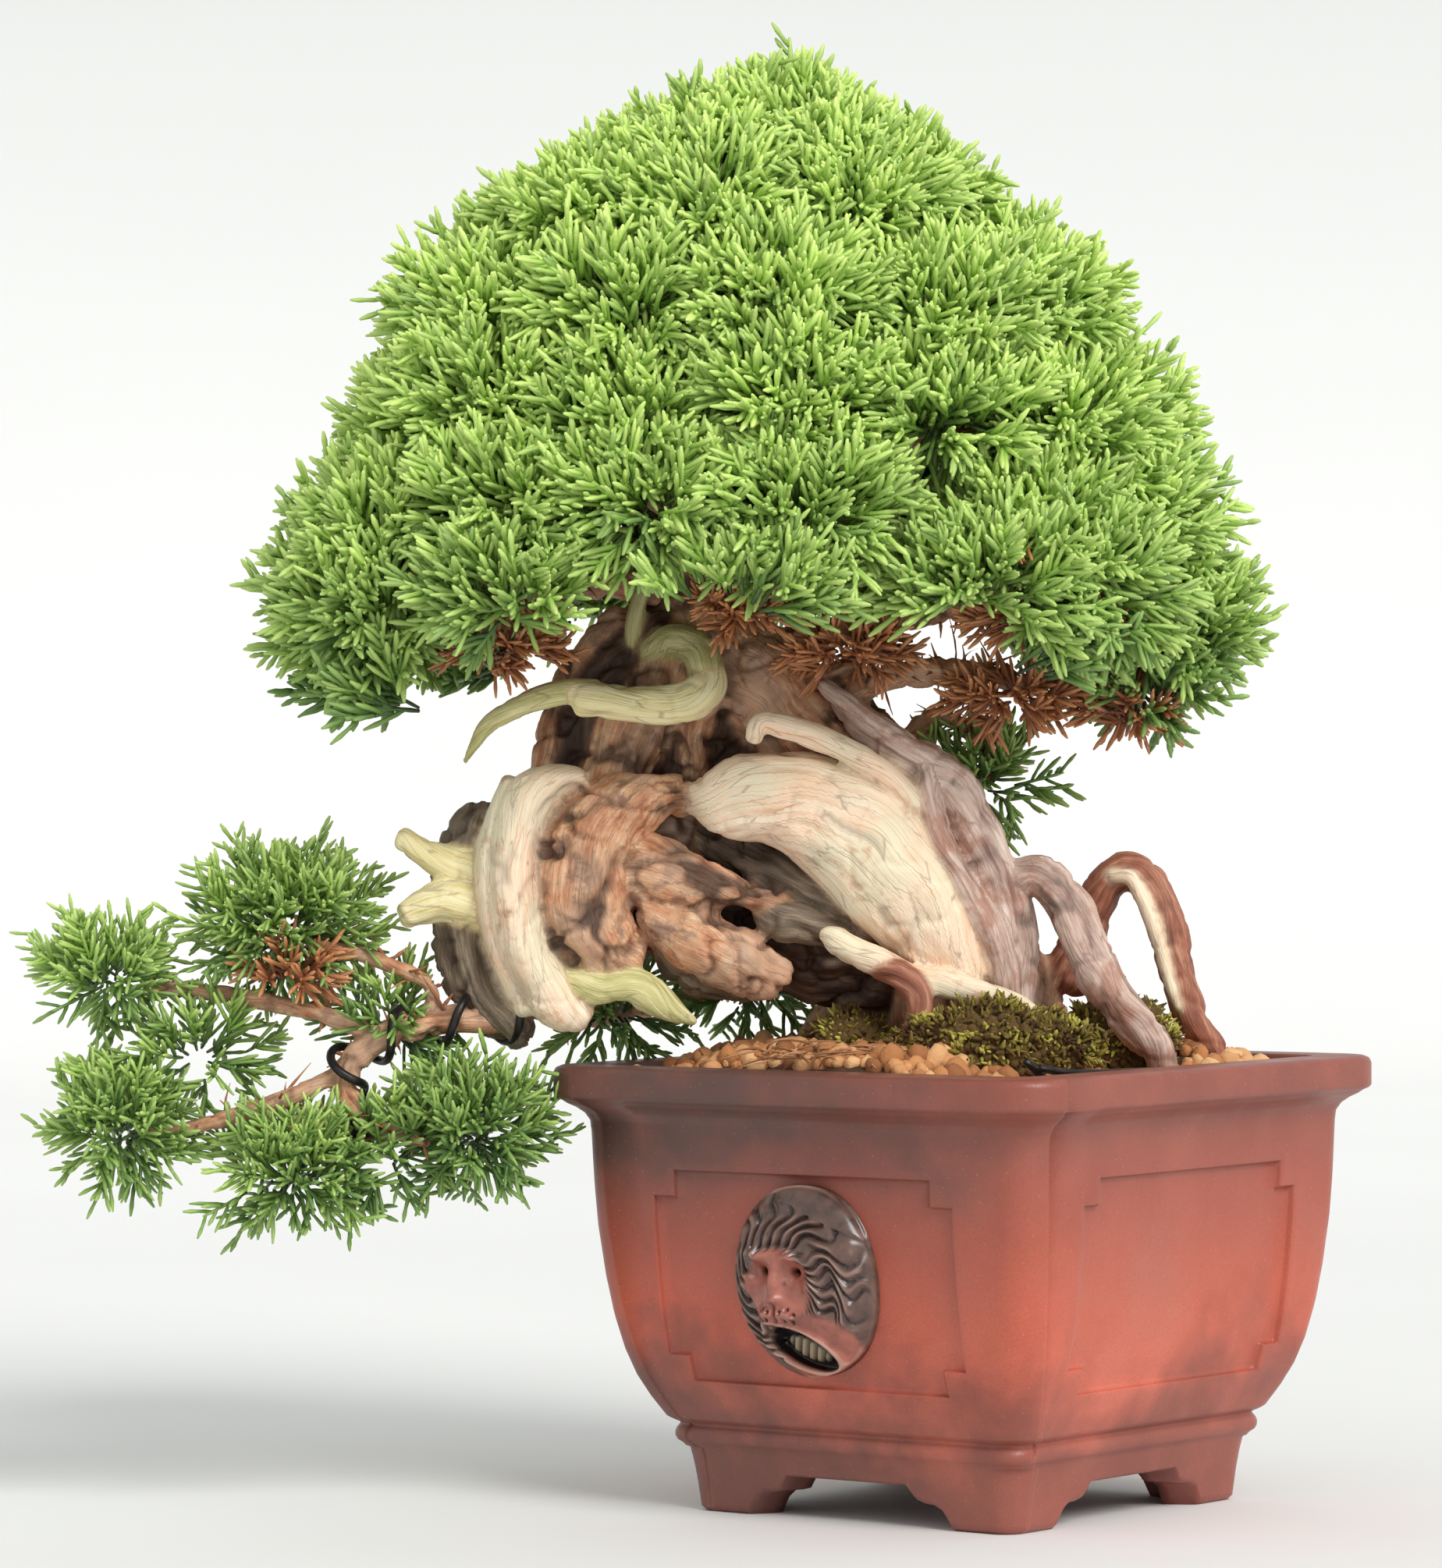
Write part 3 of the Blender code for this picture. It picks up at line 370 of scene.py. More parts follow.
def panel_sink(across, height):
    """How far the wall is sunk at a place, from the middle of its side."""
    centre = (PANEL_LOW + PANEL_TOP) / 2
    up, half = abs(height - centre), (PANEL_TOP - PANEL_LOW) / 2
    side = abs(across)
    wide = np.maximum(side - PANEL_HALF, up - (half - PANEL_STEP))
    tall = np.maximum(side - (PANEL_HALF - PANEL_STEP), up - half)
    outside = np.minimum(wide, tall)
    bead = np.exp(-((outside - 0.0007) / 0.0004) ** 2)
    return PANEL_DEPTH * blend_in(-outside, 0.0, PANEL_EDGE) - 0.00012 * bead


def foot_line(from_corner):
    """Height of the pot's lower edge at a distance from its corner along a side."""
    leg = LEG_RISE * np.sqrt(np.clip((from_corner - LEG) / 0.0030, 0, 1))
    scroll = 0.0006 * np.sin(np.clip((from_corner - LEG) / (BRACKET - LEG), 0, 1) * pi)
    rise = (APRON_RISE - LEG_RISE) * blend_in(from_corner, BRACKET - 0.0002, BRACKET + 0.0012)
    return leg - scroll + rise


def side_places():
    """Places across one side, as shares of its middle part, close together at panel edges."""
    end = SIDE_MIDDLE - 0.0002
    inner = spread_rows(-end, end, 0.0021, (-PANEL_HALF, -PANEL_HALF + PANEL_STEP,
                                            PANEL_HALF - PANEL_STEP, PANEL_HALF))
    return inner / SIDE_MIDDLE


def pot_ring(inset, corner):
    """A ring of points round the pot, its inset taken from the rim's outer face."""
    shares = side_places()
    arcs = np.linspace(0, pi / 2, CORNER_POINTS)
    half = RIM_HALF - inset
    straight = half - corner
    run = np.concatenate([[-straight], shares * min(SIDE_MIDDLE, straight * 0.97)])
    x = np.concatenate([run, straight + corner * np.sin(arcs)])
    y = np.concatenate([np.full(len(run), -half), -straight - corner * np.cos(arcs)])
    points = []
    for quarter in range(4):
        turn = quarter * pi / 2
        points.append(np.stack([x * cos(turn) - y * sin(turn),
                                x * sin(turn) + y * cos(turn)], axis=1))
    return np.vstack(points)


def ring_across(ring):
    """For each point of a ring, its place along its own side, from the middle."""
    quarter = len(ring) // 4
    across = []
    for i in range(4):
        part = ring[i * quarter:(i + 1) * quarter]
        across.append(part[:, 0] * cos(i * pi / 2) + part[:, 1] * sin(i * pi / 2))
    return np.concatenate(across)


def outward(ring):
    """The flat outward direction of each point's side, turning at the corners."""
    straight = len(ring) // 4 - CORNER_POINTS
    arcs = np.linspace(0, pi / 2, CORNER_POINTS)
    angles = np.concatenate([np.full(straight, -pi / 2), arcs - pi / 2])
    return np.vstack([np.stack([np.cos(angles + i * pi / 2), np.sin(angles + i * pi / 2)], axis=1)
                      for i in range(4)])


def profile(height):
    """The wall's inset from the rim's face, and its corner radius."""
    return (np.interp(height, OUTSIDE[:, 0], OUTSIDE[:, 1]),
            np.interp(height, OUTSIDE[:, 0], OUTSIDE[:, 2]))


def level_ring(points, height):
    """A ring set at one height, or at a height for each point."""
    return np.column_stack([points, np.broadcast_to(height, len(points))])


def underside_rings(base, line):
    """From the drain hole out under the floor, down inside the feet and across their soles."""
    rings = [level_ring(unit(base) * radius, UNDERSIDE)
             for radius in (DRAIN_RADIUS + DRAIN_BEVEL, DRAIN_FLAT)]
    inner, outer = pot_ring(FOOT_INSET + FOOT_DEPTH, 0.002), pot_ring(0.0201, 0.0036)
    rings.append(level_ring(inner * 0.97, UNDERSIDE))
    drop = UNDERSIDE - np.minimum(line, UNDERSIDE)
    rings += [level_ring(inner, UNDERSIDE - drop * share) for share in (0.0, 0.1, 0.5, 0.9, 1.0)]
    rings += [level_ring(inner * (1 - share) + outer * share, line)
              for share in np.linspace(0, 1, 4)[1:-1]]
    return rings


def outer_rings(base, line):
    """Up the feet to the plinth, then the wall with its panels and the rim."""
    rings = []
    direction = outward(base)
    for share in np.concatenate([[0.0, 0.03, 0.07], np.linspace(0.14, 1, 12)]):
        heights = line + (PLINTH_START - line) * share
        edge = 0.0005 * (1 - min(1.0, share / 0.07))
        push = FOOT_INSET - profile(heights)[0] - edge
        rings.append(level_ring(base + direction * push[:, None], heights))
    edges = (PANEL_LOW, PANEL_LOW + PANEL_STEP, PANEL_TOP - PANEL_STEP, PANEL_TOP)
    for height in np.concatenate([np.arange(0.0114, 0.0170, 0.00035),
                                  spread_rows(0.0172, 0.0670, 0.0015, edges),
                                  np.arange(0.0674, 0.0779, 0.00033), [0.0780]]):
        ring = pot_ring(*profile(height))
        ring = ring - outward(ring) * panel_sink(ring_across(ring), height)[:, None]
        rings.append(level_ring(ring, height * POT_HEIGHT / OUTSIDE[-1, 0]))
    return rings


def inner_rings(circle):
    """Over the rim, down the inside and across the floor into the drain hole."""
    rings = [level_ring(pot_ring(inset, 0.0088 - 0.55 * inset), POT_HEIGHT)
             for inset in (0.0016, RIM_LIP - 0.0007, RIM_LIP - 0.0002)]
    rings += [level_ring(pot_ring(RIM_LIP, 0.004), POT_HEIGHT - drop) for drop in (0.0004, 0.004)]
    for height in (0.068, 0.064, 0.057, 0.050, 0.042, 0.0345, 0.028, 0.022, FLOOR_TOP + 0.0025):
        rings.append(level_ring(pot_ring(profile(height)[0] + WALL, 0.0035), height))
    floor_ring = pot_ring(profile(0.0172)[0] + WALL + 0.003, 0.003)
    rings.append(level_ring(floor_ring, FLOOR_TOP))
    rings.append(level_ring(floor_ring * 0.7 + circle * 0.009, FLOOR_TOP))
    for radius, height in ((DRAIN_FLAT, FLOOR_TOP), (DRAIN_RADIUS + DRAIN_BEVEL, FLOOR_TOP),
                           (DRAIN_RADIUS, FLOOR_TOP - DRAIN_BEVEL),
                           (DRAIN_RADIUS, UNDERSIDE + DRAIN_BEVEL)):
        rings.append(level_ring(circle * radius, height))
    return rings


def pot_surface():
    """The pot's skin as rings of points, from the drain hole out, up the wall and back in."""
    base = pot_ring(FOOT_INSET, FOOT_CORNER)
    line = foot_line(RIM_HALF - FOOT_INSET - abs(ring_across(base)))
    return underside_rings(base, line) + outer_rings(base, line) + inner_rings(unit(base))


def stoneware():
    """Brick-red unglazed clay with purple-grey flashing, specks and fine tooling. The flashing is laid on
    more to the left and less on the lit right face, which is painted shade.
    """
    made, tree, shader = new_material("stoneware", 0.42)
    place = place_in(tree)
    height = node(tree, "SeparateXYZ", {"Vector": place}).outputs["Z"]
    drift = texture(tree, "Noise", place, 26.0, Detail=4.0, Roughness=0.6)
    blotch = texture(tree, "Noise", place, 90.0, Detail=3.0)
    grit = texture(tree, "Noise", place, 2600.0, Detail=2.0)
    clay = ramp(tree, drift, (0.30, srgb(164, 78, 60)), (0.50, srgb(194, 94, 72)),
                (0.72, srgb(212, 112, 90)))
    wavy = maths(tree, "ADD", height, grade(tree, drift, 0.3, 0.7, -0.012, 0.012))
    across = node(tree, "SeparateXYZ", {"Vector": place}).outputs["X"]
    # Painted shade: on the left of the view the flashing starts lower on the wall.
    wavy_left = maths(tree, "ADD", wavy, grade(tree, across, -0.02, 0.03, 0.008, -0.002))
    upper = grade(tree, wavy_left, 0.036, 0.064)
    lower = grade(tree, wavy, 0.032, 0.018)
    flashing_and_shade = maths(tree, "MAXIMUM", upper, maths(tree, "MULTIPLY", lower, 0.85))
    # Painted shade: the lit right face gets less of the flashing.
    flashing_and_shade = maths(tree, "MULTIPLY", flashing_and_shade, grade(tree, across, 0.045, 0.085, 1.0, 0.6))
    flashing_and_shade = maths(tree, "MULTIPLY", flashing_and_shade, grade(tree, blotch, 0.3, 0.6, 0.80, 1.0))
    tinted = mix(tree, flashing_and_shade, clay, srgb(96, 68, 62))
    specks = texture(tree, "Voronoi", place, 620.0)
    tinted = mix(tree, grade(tree, specks, 0.10, 0.05, 0.0, 0.35), tinted, srgb(205, 160, 140))
    tinted = mix(tree, grade(tree, grit, 0.35, 0.7, 0.0, 0.18), tinted, srgb(90, 50, 44))
    tree.links.new(tinted, shader.inputs["Base Color"])
    tree.links.new(grade(tree, blotch, 0.3, 0.7, 0.34, 0.50), shader.inputs["Roughness"])
    relief = maths(tree, "ADD", maths(tree, "MULTIPLY", blotch, 2.5), grit)
    tree.links.new(bump(tree, relief, 0.22, 0.00022), shader.inputs["Normal"])
    return made


def make_pot():
    rings = pot_surface()
    points = np.vstack(rings)
    waver = noise(points * 70, 3)[:, None] * 0.00012
    points = points + waver * unit(points * (1, 1, 0))
    points[:, 2] = np.clip(points[:, 2], 0.0, POT_HEIGHT)
    faces = grid_faces(len(rings), len(rings[0]), rows_close=True)
    mesh_piece("pot_clay", placed(points, POT_AXES), [faces], stoneware(), ["pot"])


# ---------------------------------------------------------------- foliage

CORD_SIDES = 5
CORD_RADIUS = 0.43                    # millimetres, as is everything in the tree's axes
# Square millimetres of a clump's surface to each spray.
CROWN_SPACING, SPRIG_SPACING, LOOSE_SPACING, DEAD_SPACING = 27.0, 32.0, 60.0, 26.0

# The crown seen from the front: height, and its left and right edges.
CROWN_EDGES = np.array([
    (130, -96, 30), (136, -110, 40), (143, -119, 49), (153, -124, 55), (162, -122, 50),
    (173, -117, 45), (188, -108, 41), (206, -102, 33), (216, -96, 24), (225, -89, 13),
    (236, -69, 0), (244, -55, -13), (249, -42, -20), (252, -31, -27)])
CROWN_DEPTH = 0.66                    # of the crown's width
# Lowest foliage across the crown: place and height.
CROWN_HEM = np.array([(-126, 148), (-113, 136), (-100, 141), (-85, 147), (-68, 153), (-48, 159),
                      (-20, 154), (0, 157), (12, 148), (22, 138), (39, 134), (50, 146), (58, 152)])
# Rows of pads: height, how many round the crown, half sizes, and painted light, the lower rows darker as
# painted shade.
PAD_ROWS = [(240, 3, (19, 16, 10), 1.0), (227, 7, (17, 15, 11), 1.0), (209, 10, (18, 16, 12), 1.0),
            (190, 12, (18, 16, 12), 0.98), (172, 13, (18, 16, 12), 0.90),
            (156, 12, (18, 16, 11), 0.70), (144, 8, (15, 13, 8), 0.22)]

# The CAD clumps of the crown and their centres.
CROWN_NODES = {
    "apex": (-32, 0, 238), "upper_left": (-80, 2, 212), "upper_right": (9, 0, 211),
    "upper_front": (-36, -30, 211), "upper_back": (-36, 31, 211), "middle_left": (-98, -2, 183),
    "middle_front_left": (-62, -38, 183), "middle_front_right": (-15, -38, 184),
    "middle_right": (27, -4, 182), "middle_back_left": (-62, 38, 184),
    "middle_back_right": (-13, 38, 184), "low_left": (-103, -2, 152), "low_right": (33, -4, 151),
    "low_front": (-33, -40, 158), "low_back": (-33, 42, 156),
}
# Clumps of their own: centre, half sizes, and painted light, these low clumps darker as painted shade.
SPRIGS = {
    "hanging_sprig": ((3, 7, 126), (12, 8, 9), 0.35),
    "cascade_upper": ((-119, -3, 102), (18, 15, 12), 0.55),
    "cascade_tip": ((-150, -4, 93), (12, 12, 9), 0.6),
    "cascade_far": ((-147, -6, 67), (12, 13, 12), 0.55),
    "cascade_low": ((-117, -9, 59), (16, 14, 9), 0.5),
    "cascade_near": ((-86, -9, 66), (14, 13, 12), 0.35),
    "behind_trunk": ((-37, 27, 91), (15, 9, 9), 0.4),
}
# More shoots on the same branches, which the CAD's clumps leave out: centre, half sizes, and painted light,
# kept low as painted shade.
LOOSE_SPRIGS = {
    "under_trunk": ((-62, 12, 86), (17, 9, 7), 0.35),
    "cascade_middle": ((-101, -2, 84), (15, 9, 8), 0.35),
    "cascade_below": ((-101, -8, 62), (15, 10, 8), 0.4),
    "cascade_left": ((-134, -5, 80), (14, 9, 9), 0.5),
}


def sphere_directions(count, rng):
    """Directions spread evenly over a sphere, a little shaken."""
    i = np.arange(count) + 0.5
    z = 1 - 2 * i / count
    turn = i * pi * (3 - 5 ** 0.5)
    flat = np.sqrt(1 - z * z)
    even = np.stack([flat * np.cos(turn), flat * np.sin(turn), z], axis=1)
    return unit(even + rng.normal(0, 0.9 / count ** 0.5, even.shape))


def cords_mesh(base, direction, bend, length, radius, start, shade, rings, knobs=0.12, taper=0.0):
    """Tapered knobbly cords: their points, faces, and each point's place along and shade."""
    count = len(base)
    along = np.linspace(0, 1, rings)
    sides = np.arange(CORD_SIDES) * tau / CORD_SIDES
    forward = unit(direction)
    across = unit(np.cross(forward, unit(np.sin(base * 12.9898 + forward * 78.233))))
    third = np.cross(forward, across)
    girth = (0.86 + 0.3 * np.sin(along * pi * 0.8)) * (1 - taper * along)
    girth = girth * (1 + knobs * np.where(np.arange(rings) % 2, 1.0, -1.0))
    girth[-1] = 0.62 * (1 - taper)
    centre = (base[:, None] + forward[:, None] * (length[:, None] * along)[..., None]
              + bend[:, None] * (length[:, None] * along ** 2)[..., None])
    spoke = (across[:, None] * np.cos(sides)[None, :, None]
             + third[:, None] * np.sin(sides)[None, :, None])
    thick = radius[:, None] * girth
    body = centre[:, :, None] + spoke[:, None] * thick[:, :, None, None]
    tip = centre[:, -1] + unit(forward + 2 * bend) * (radius * 0.55 * (1 - taper))[:, None]
    per_cord = rings * CORD_SIDES + 1
    points = np.concatenate([body.reshape(count, -1, 3), tip[:, None]], axis=1).reshape(-1, 3)
    around = np.arange(CORD_SIDES)
    last = (rings - 1) * CORD_SIDES
    ends = np.stack([last + around, last + (around + 1) % CORD_SIDES,
                     np.full(CORD_SIDES, per_cord - 1)], -1)
    shift = (np.arange(count) * per_cord)[:, None, None]
    faces = [(part[None] + shift).reshape(-1, part.shape[-1])
             for part in (grid_faces(rings, CORD_SIDES), ends, around[::-1][None])]
    travelled = start[:, None] + (1 - start)[:, None] * np.append(np.repeat(along, CORD_SIDES), 1.0)
    return points, faces, travelled.ravel(), np.repeat(shade, per_cord)


def spray_cords(base, axis, length, shade, rng, fingers, lean, reach):
    """Leading shoots, and the shorter side shoots that leave them all along."""
    count = len(base)
    bend = rng.normal(0, 0.10, (count, 3)) + (0, 0, 0.08)
    lead = dict(base=base, direction=axis, bend=bend, length=length,
                start=np.zeros(count), shade=shade)
    total = count * fingers
    place = np.tile(np.linspace(0.16, 0.93, fingers), count) + rng.uniform(-0.04, 0.04, total)
    which = np.repeat(np.arange(count), fingers)
    forward = unit(axis)[which]
    far = length[which] * place
    foot = base[which] + forward * far[:, None] + bend[which] * (far * place)[:, None]
    side = unit(np.cross(forward, unit(rng.normal(size=(total, 3)))))
    angle = lean * rng.uniform(0.65, 1.2, total)
    direction = unit(forward * np.cos(angle)[:, None] + side * np.sin(angle)[:, None])
    side_length = reach * (1.1 - 0.5 * place) * rng.uniform(0.6, 1.25, total)
    side_shoots = dict(base=foot, direction=direction, bend=forward * 0.16, length=side_length,
                       start=0.12 + 0.34 * place,
                       shade=np.clip(shade[which] + rng.normal(0, 0.07, total), 0, 1))
    return lead, side_shoots


def foliage_material(name, bases, middles, tips):
    """Scale leaves, bright at each shoot's tip. All colour comes from the shoots' own map; up it the colour
    goes from the darker set to the lighter set, by a value that is painted light and shade with some random
    tone.
    """
    made, tree, shader = new_material(name, 0.5)
    where = node(tree, "UVMap", uv_map="OFBake").outputs[0]
    split = node(tree, "SeparateXYZ", {"Vector": where})
    shaded_colour, green = [ramp(tree, split.outputs["X"], (0.03, srgb(*base)), (0.45, srgb(*middle)),
                        (0.97, srgb(*tip))) for base, middle, tip in zip(bases, middles, tips)]
    tree.links.new(mix(tree, split.outputs["Y"], shaded_colour, green), shader.inputs["Base Color"])
    scales = texture(tree, "Voronoi", place_in(tree), 1900.0)
    tree.links.new(bump(tree, scales, 0.35, 0.0002), shader.inputs["Normal"])
    return made


def lane_map(mesh, travelled, shade):
    """The shoots' own map: across it along each shoot, up it by the shade value from dark to bright. On
    foliage that value is painted light and shade with some random tone.
    """
    corner = np.zeros(len(mesh.loops), np.int32)
    mesh.loops.foreach_get("vertex_index", corner)
    lanes = np.round(np.clip(shade, 0.02, 0.98) * 16) / 16 * 0.94 + 0.03
    uv = np.stack([np.clip(travelled, 0, 1) * 0.94 + 0.03, lanes], axis=1)[corner]
    layer = mesh.uv_layers.new(name="OFBake")
    layer.data.foreach_set("uv", uv.astype(np.float32).ravel())


def cords_piece(name, groups, material, replaces=()):
    """One piece from several groups of cords, each with its rings and radii."""
    parts = [cords_mesh(**group) for group in groups]
    offsets = np.cumsum([0] + [len(part[0]) for part in parts[:-1]])
    faces = [face + offset for part, offset in zip(parts, offsets) for face in part[1]]
    points = placed(np.vstack([part[0] for part in parts]), TREE_AXES, MM)
    piece = mesh_piece(name, points, faces, material, replaces)
    lane_map(piece.data, *[np.concatenate([part[i] for part in parts]) for i in (2, 3)])
    return piece


def ellipsoid_sprays(centre, halves, painted_light, spacing, rng, innermost=0.42):
    """Bases, directions, lengths and shades of the sprays of one clump."""
    a, b, c = halves
    area = 4 * pi * (((a * b) ** 1.6 + (a * c) ** 1.6 + (b * c) ** 1.6) / 3) ** (1 / 1.6)
    outer = sphere_directions(int(area / spacing), rng)
    outer = outer[(outer[:, 2] > -0.3) | (rng.random(len(outer)) < 0.5)]
    inner = sphere_directions(int(area / spacing / 3), rng)
    facing = np.vstack([outer, inner])
    depth = np.concatenate([rng.uniform(innermost, 0.62, len(outer)),
                            rng.uniform(0.1, 0.3, len(inner))])
    base = np.array(centre) + facing * np.array(halves) * depth[:, None]
    normal = unit(facing / np.array(halves))
    axis = unit(normal * 0.6 + facing * 0.5 + (0, 0, 0.35) + rng.normal(0, 0.2, facing.shape))
    gap = np.linalg.norm(facing * np.array(halves), axis=1) * (1.0 - depth)
    length = np.clip(gap, 8.0, 14.0) * rng.uniform(0.85, 1.15, len(gap))
    # Painted light and shade: sprays deep in the clump are darker, upward-facing ones lighter, all scaled
    # by the clump's painted light value, plus some random tone.
    shade = np.clip(painted_light * (0.35 + 0.8 * depth) + 0.16 * facing[:, 2]
                    + rng.normal(0, 0.09, len(gap)), 0.02, 1.0)
    return base, axis, length, shade


def crown_ratio(points):
    """How far out each point is in the crown: 1 on its outline."""
    z = points[:, 2]
    left = np.interp(z, CROWN_EDGES[:, 0], CROWN_EDGES[:, 1])
    right = np.interp(z, CROWN_EDGES[:, 0], CROWN_EDGES[:, 2])
    half = np.maximum((right - left) / 2, 1.0)
    ratio = np.hypot((points[:, 0] - (left + right) / 2) / half, points[:, 1] / (half * CROWN_DEPTH))
    return ratio + np.maximum(z - CROWN_EDGES[-1, 0], 0) / 4


def crown_sprays(rng):
    """Sprays of all the crown's pads, kept inside its outline and above its hem."""
    groups = []
    for z, count, halves, painted_light in PAD_ROWS:
        left, right = (np.interp(z, CROWN_EDGES[:, 0], CROWN_EDGES[:, i]) for i in (1, 2))
        half = (right - left) / 2
        share = max(0.35, 1 - 17.0 / half)
        for turn in (np.arange(count) + rng.uniform(0, 1)) * tau / count:
            turn += rng.uniform(-0.12, 0.12)
            centre = ((left + right) / 2 + half * share * cos(turn),
                      half * share * CROWN_DEPTH * sin(turn) * 1.05, z + rng.uniform(-4, 4))
            size = np.array(halves) * rng.uniform(0.9, 1.12, 3)
            base, axis, length, shade = ellipsoid_sprays(centre, size, painted_light, CROWN_SPACING, rng)
            out = unit(np.array([cos(turn), sin(turn), 0.45]))
            kept = (base - centre) @ out > -0.25 * size[0]
            groups.append([values[kept] for values in (base, axis, length, shade)])
    base, axis, length, shade = [np.concatenate(parts) for parts in zip(*groups)]
    length = length * rng.uniform(0.95, 1.3, len(length))
    limit = 1.0 + rng.uniform(-0.05, 0.10, len(base))
    middle = np.array([-35.0, 0.0, 165.0])
    for _ in range(12):
        over = crown_ratio(base + axis * length[:, None]) > limit
        base[over] += unit(middle - base[over]) * 1.5
    tip = base + axis * length[:, None]
    hem = np.interp(tip[:, 0], CROWN_HEM[:, 0], CROWN_HEM[:, 1])
    kept = (tip[:, 2] > hem) & (base[:, 2] > hem + 1)
    return base[kept], axis[kept], length[kept], shade[kept]


def spray_groups(base, axis, length, shade, rng, fine=False):
    """The cords of a set of sprays, fine ones with longer, thinner shoots."""
    lead, side = spray_cords(base, axis, length, shade, rng, 9 if fine else 10,
                             0.82 if fine else 0.66, 5.6 if fine else 6.4)
    radius = CORD_RADIUS * (0.76 if fine else 1.0)
    for group, rings, girth in ((lead, 9, 0.95), (side, 5, 1.0)):
        group["radius"] = radius * girth * rng.uniform(0.85, 1.12, len(group["base"]))
        group["rings"] = rings
    return [lead, side]


def make_foliage():
    # Each colour pair: the darker one for sprays in painted shade, the lighter one for lit sprays.
    material = foliage_material("juniper", ((30, 48, 26), (82, 114, 48)),
                                ((68, 102, 52), (162, 204, 82)), ((120, 158, 82), (224, 248, 142)))
    rng = np.random.default_rng(7)
    base, axis, length, shade = crown_sprays(rng)
    centres = np.array(list(CROWN_NODES.values()), float)
    owner = np.linalg.norm(base[:, None] - centres, axis=2).argmin(axis=1)
    for index, name in enumerate(CROWN_NODES):
        mine = owner == index
        groups = spray_groups(base[mine], axis[mine], length[mine], shade[mine], rng)
        cords_piece(f"leaves_{name}", groups, material, [f"foliage_{name}"])
    for name, (centre, halves, painted_light) in SPRIGS.items():
        halves = np.array(halves) * (1.12, 1.0, 1.0)
        sprays = ellipsoid_sprays(centre, halves, painted_light, SPRIG_SPACING, rng, 0.08)
        cords_piece(f"leaves_{name}", spray_groups(*sprays, rng, fine=True), material,
                    [f"foliage_{name}"])
    for name, (centre, halves, painted_light) in LOOSE_SPRIGS.items():
        sprays = ellipsoid_sprays(centre, halves, painted_light, LOOSE_SPACING, rng, 0.08)
        cords_piece(f"leaves_{name}", spray_groups(*sprays, rng, fine=True), material)


# Dead sprays: centre, half sizes.
DEAD_SPRAYS = [
    ((14, -26, 155), (17, 7, 4)), ((8, -12, 141), (15, 5, 4)), ((-82, -24, 161), (16, 8, 4)),
    ((-80, -14, 150), (13, 6, 3)), ((-117, -10, 94), (8, 6, 4)), ((7, -38, 166), (5, 4, 5)),
    ((-39, -24, 157), (10, 6, 4)), ((-20, -16, 149), (12, 7, 4)), ((30, -6, 139), (10, 6, 4)),
]


def make_dead_sprays():
    """Orange-brown dead shoots under the pads and bare twigs along the branches."""
    rng = np.random.default_rng(61)
    # Each colour pair: the darker one for sprays in painted shade and for random dull twigs, the lighter
    # one for lit ones.
    material = foliage_material("dead_juniper", ((84, 44, 30), (112, 66, 44)),
                                ((134, 78, 50), (170, 108, 70)), ((178, 112, 72), (222, 160, 108)))
    groups = []
    for centre, halves in DEAD_SPRAYS:
        base, axis, length, shade = ellipsoid_sprays(centre, halves, 0.8, DEAD_SPACING, rng)
        groups += spray_groups(base, axis * (1, 1, 0.35), length * 0.6, shade, rng, fine=True)
    for stations in BRANCH_LIMBS:
        path = smooth_path(np.asarray(stations, float), 8)
        path = path[len(path) // 4:]
        where = rng.integers(0, len(path), (1 if stations[0][2] < 120 else 3) * len(path))
        count = len(where)
        axis = unit(rng.normal(size=(count, 3)) + (0, 0, 0.5))
        bend = rng.normal(0, 0.35, (count, 3))
        groups.append(dict(base=path[where, :3], direction=axis, bend=bend,
                           length=rng.uniform(2.0, 6.5, count),
                           radius=rng.uniform(0.22, 0.45, count),
                           start=np.zeros(count), rings=6, knobs=0.2, taper=0.55,
                           shade=rng.uniform(0.1, 0.8, count)))
    cords_piece("dead_sprays", groups, material)


# ---------------------------------------------------------------- wood

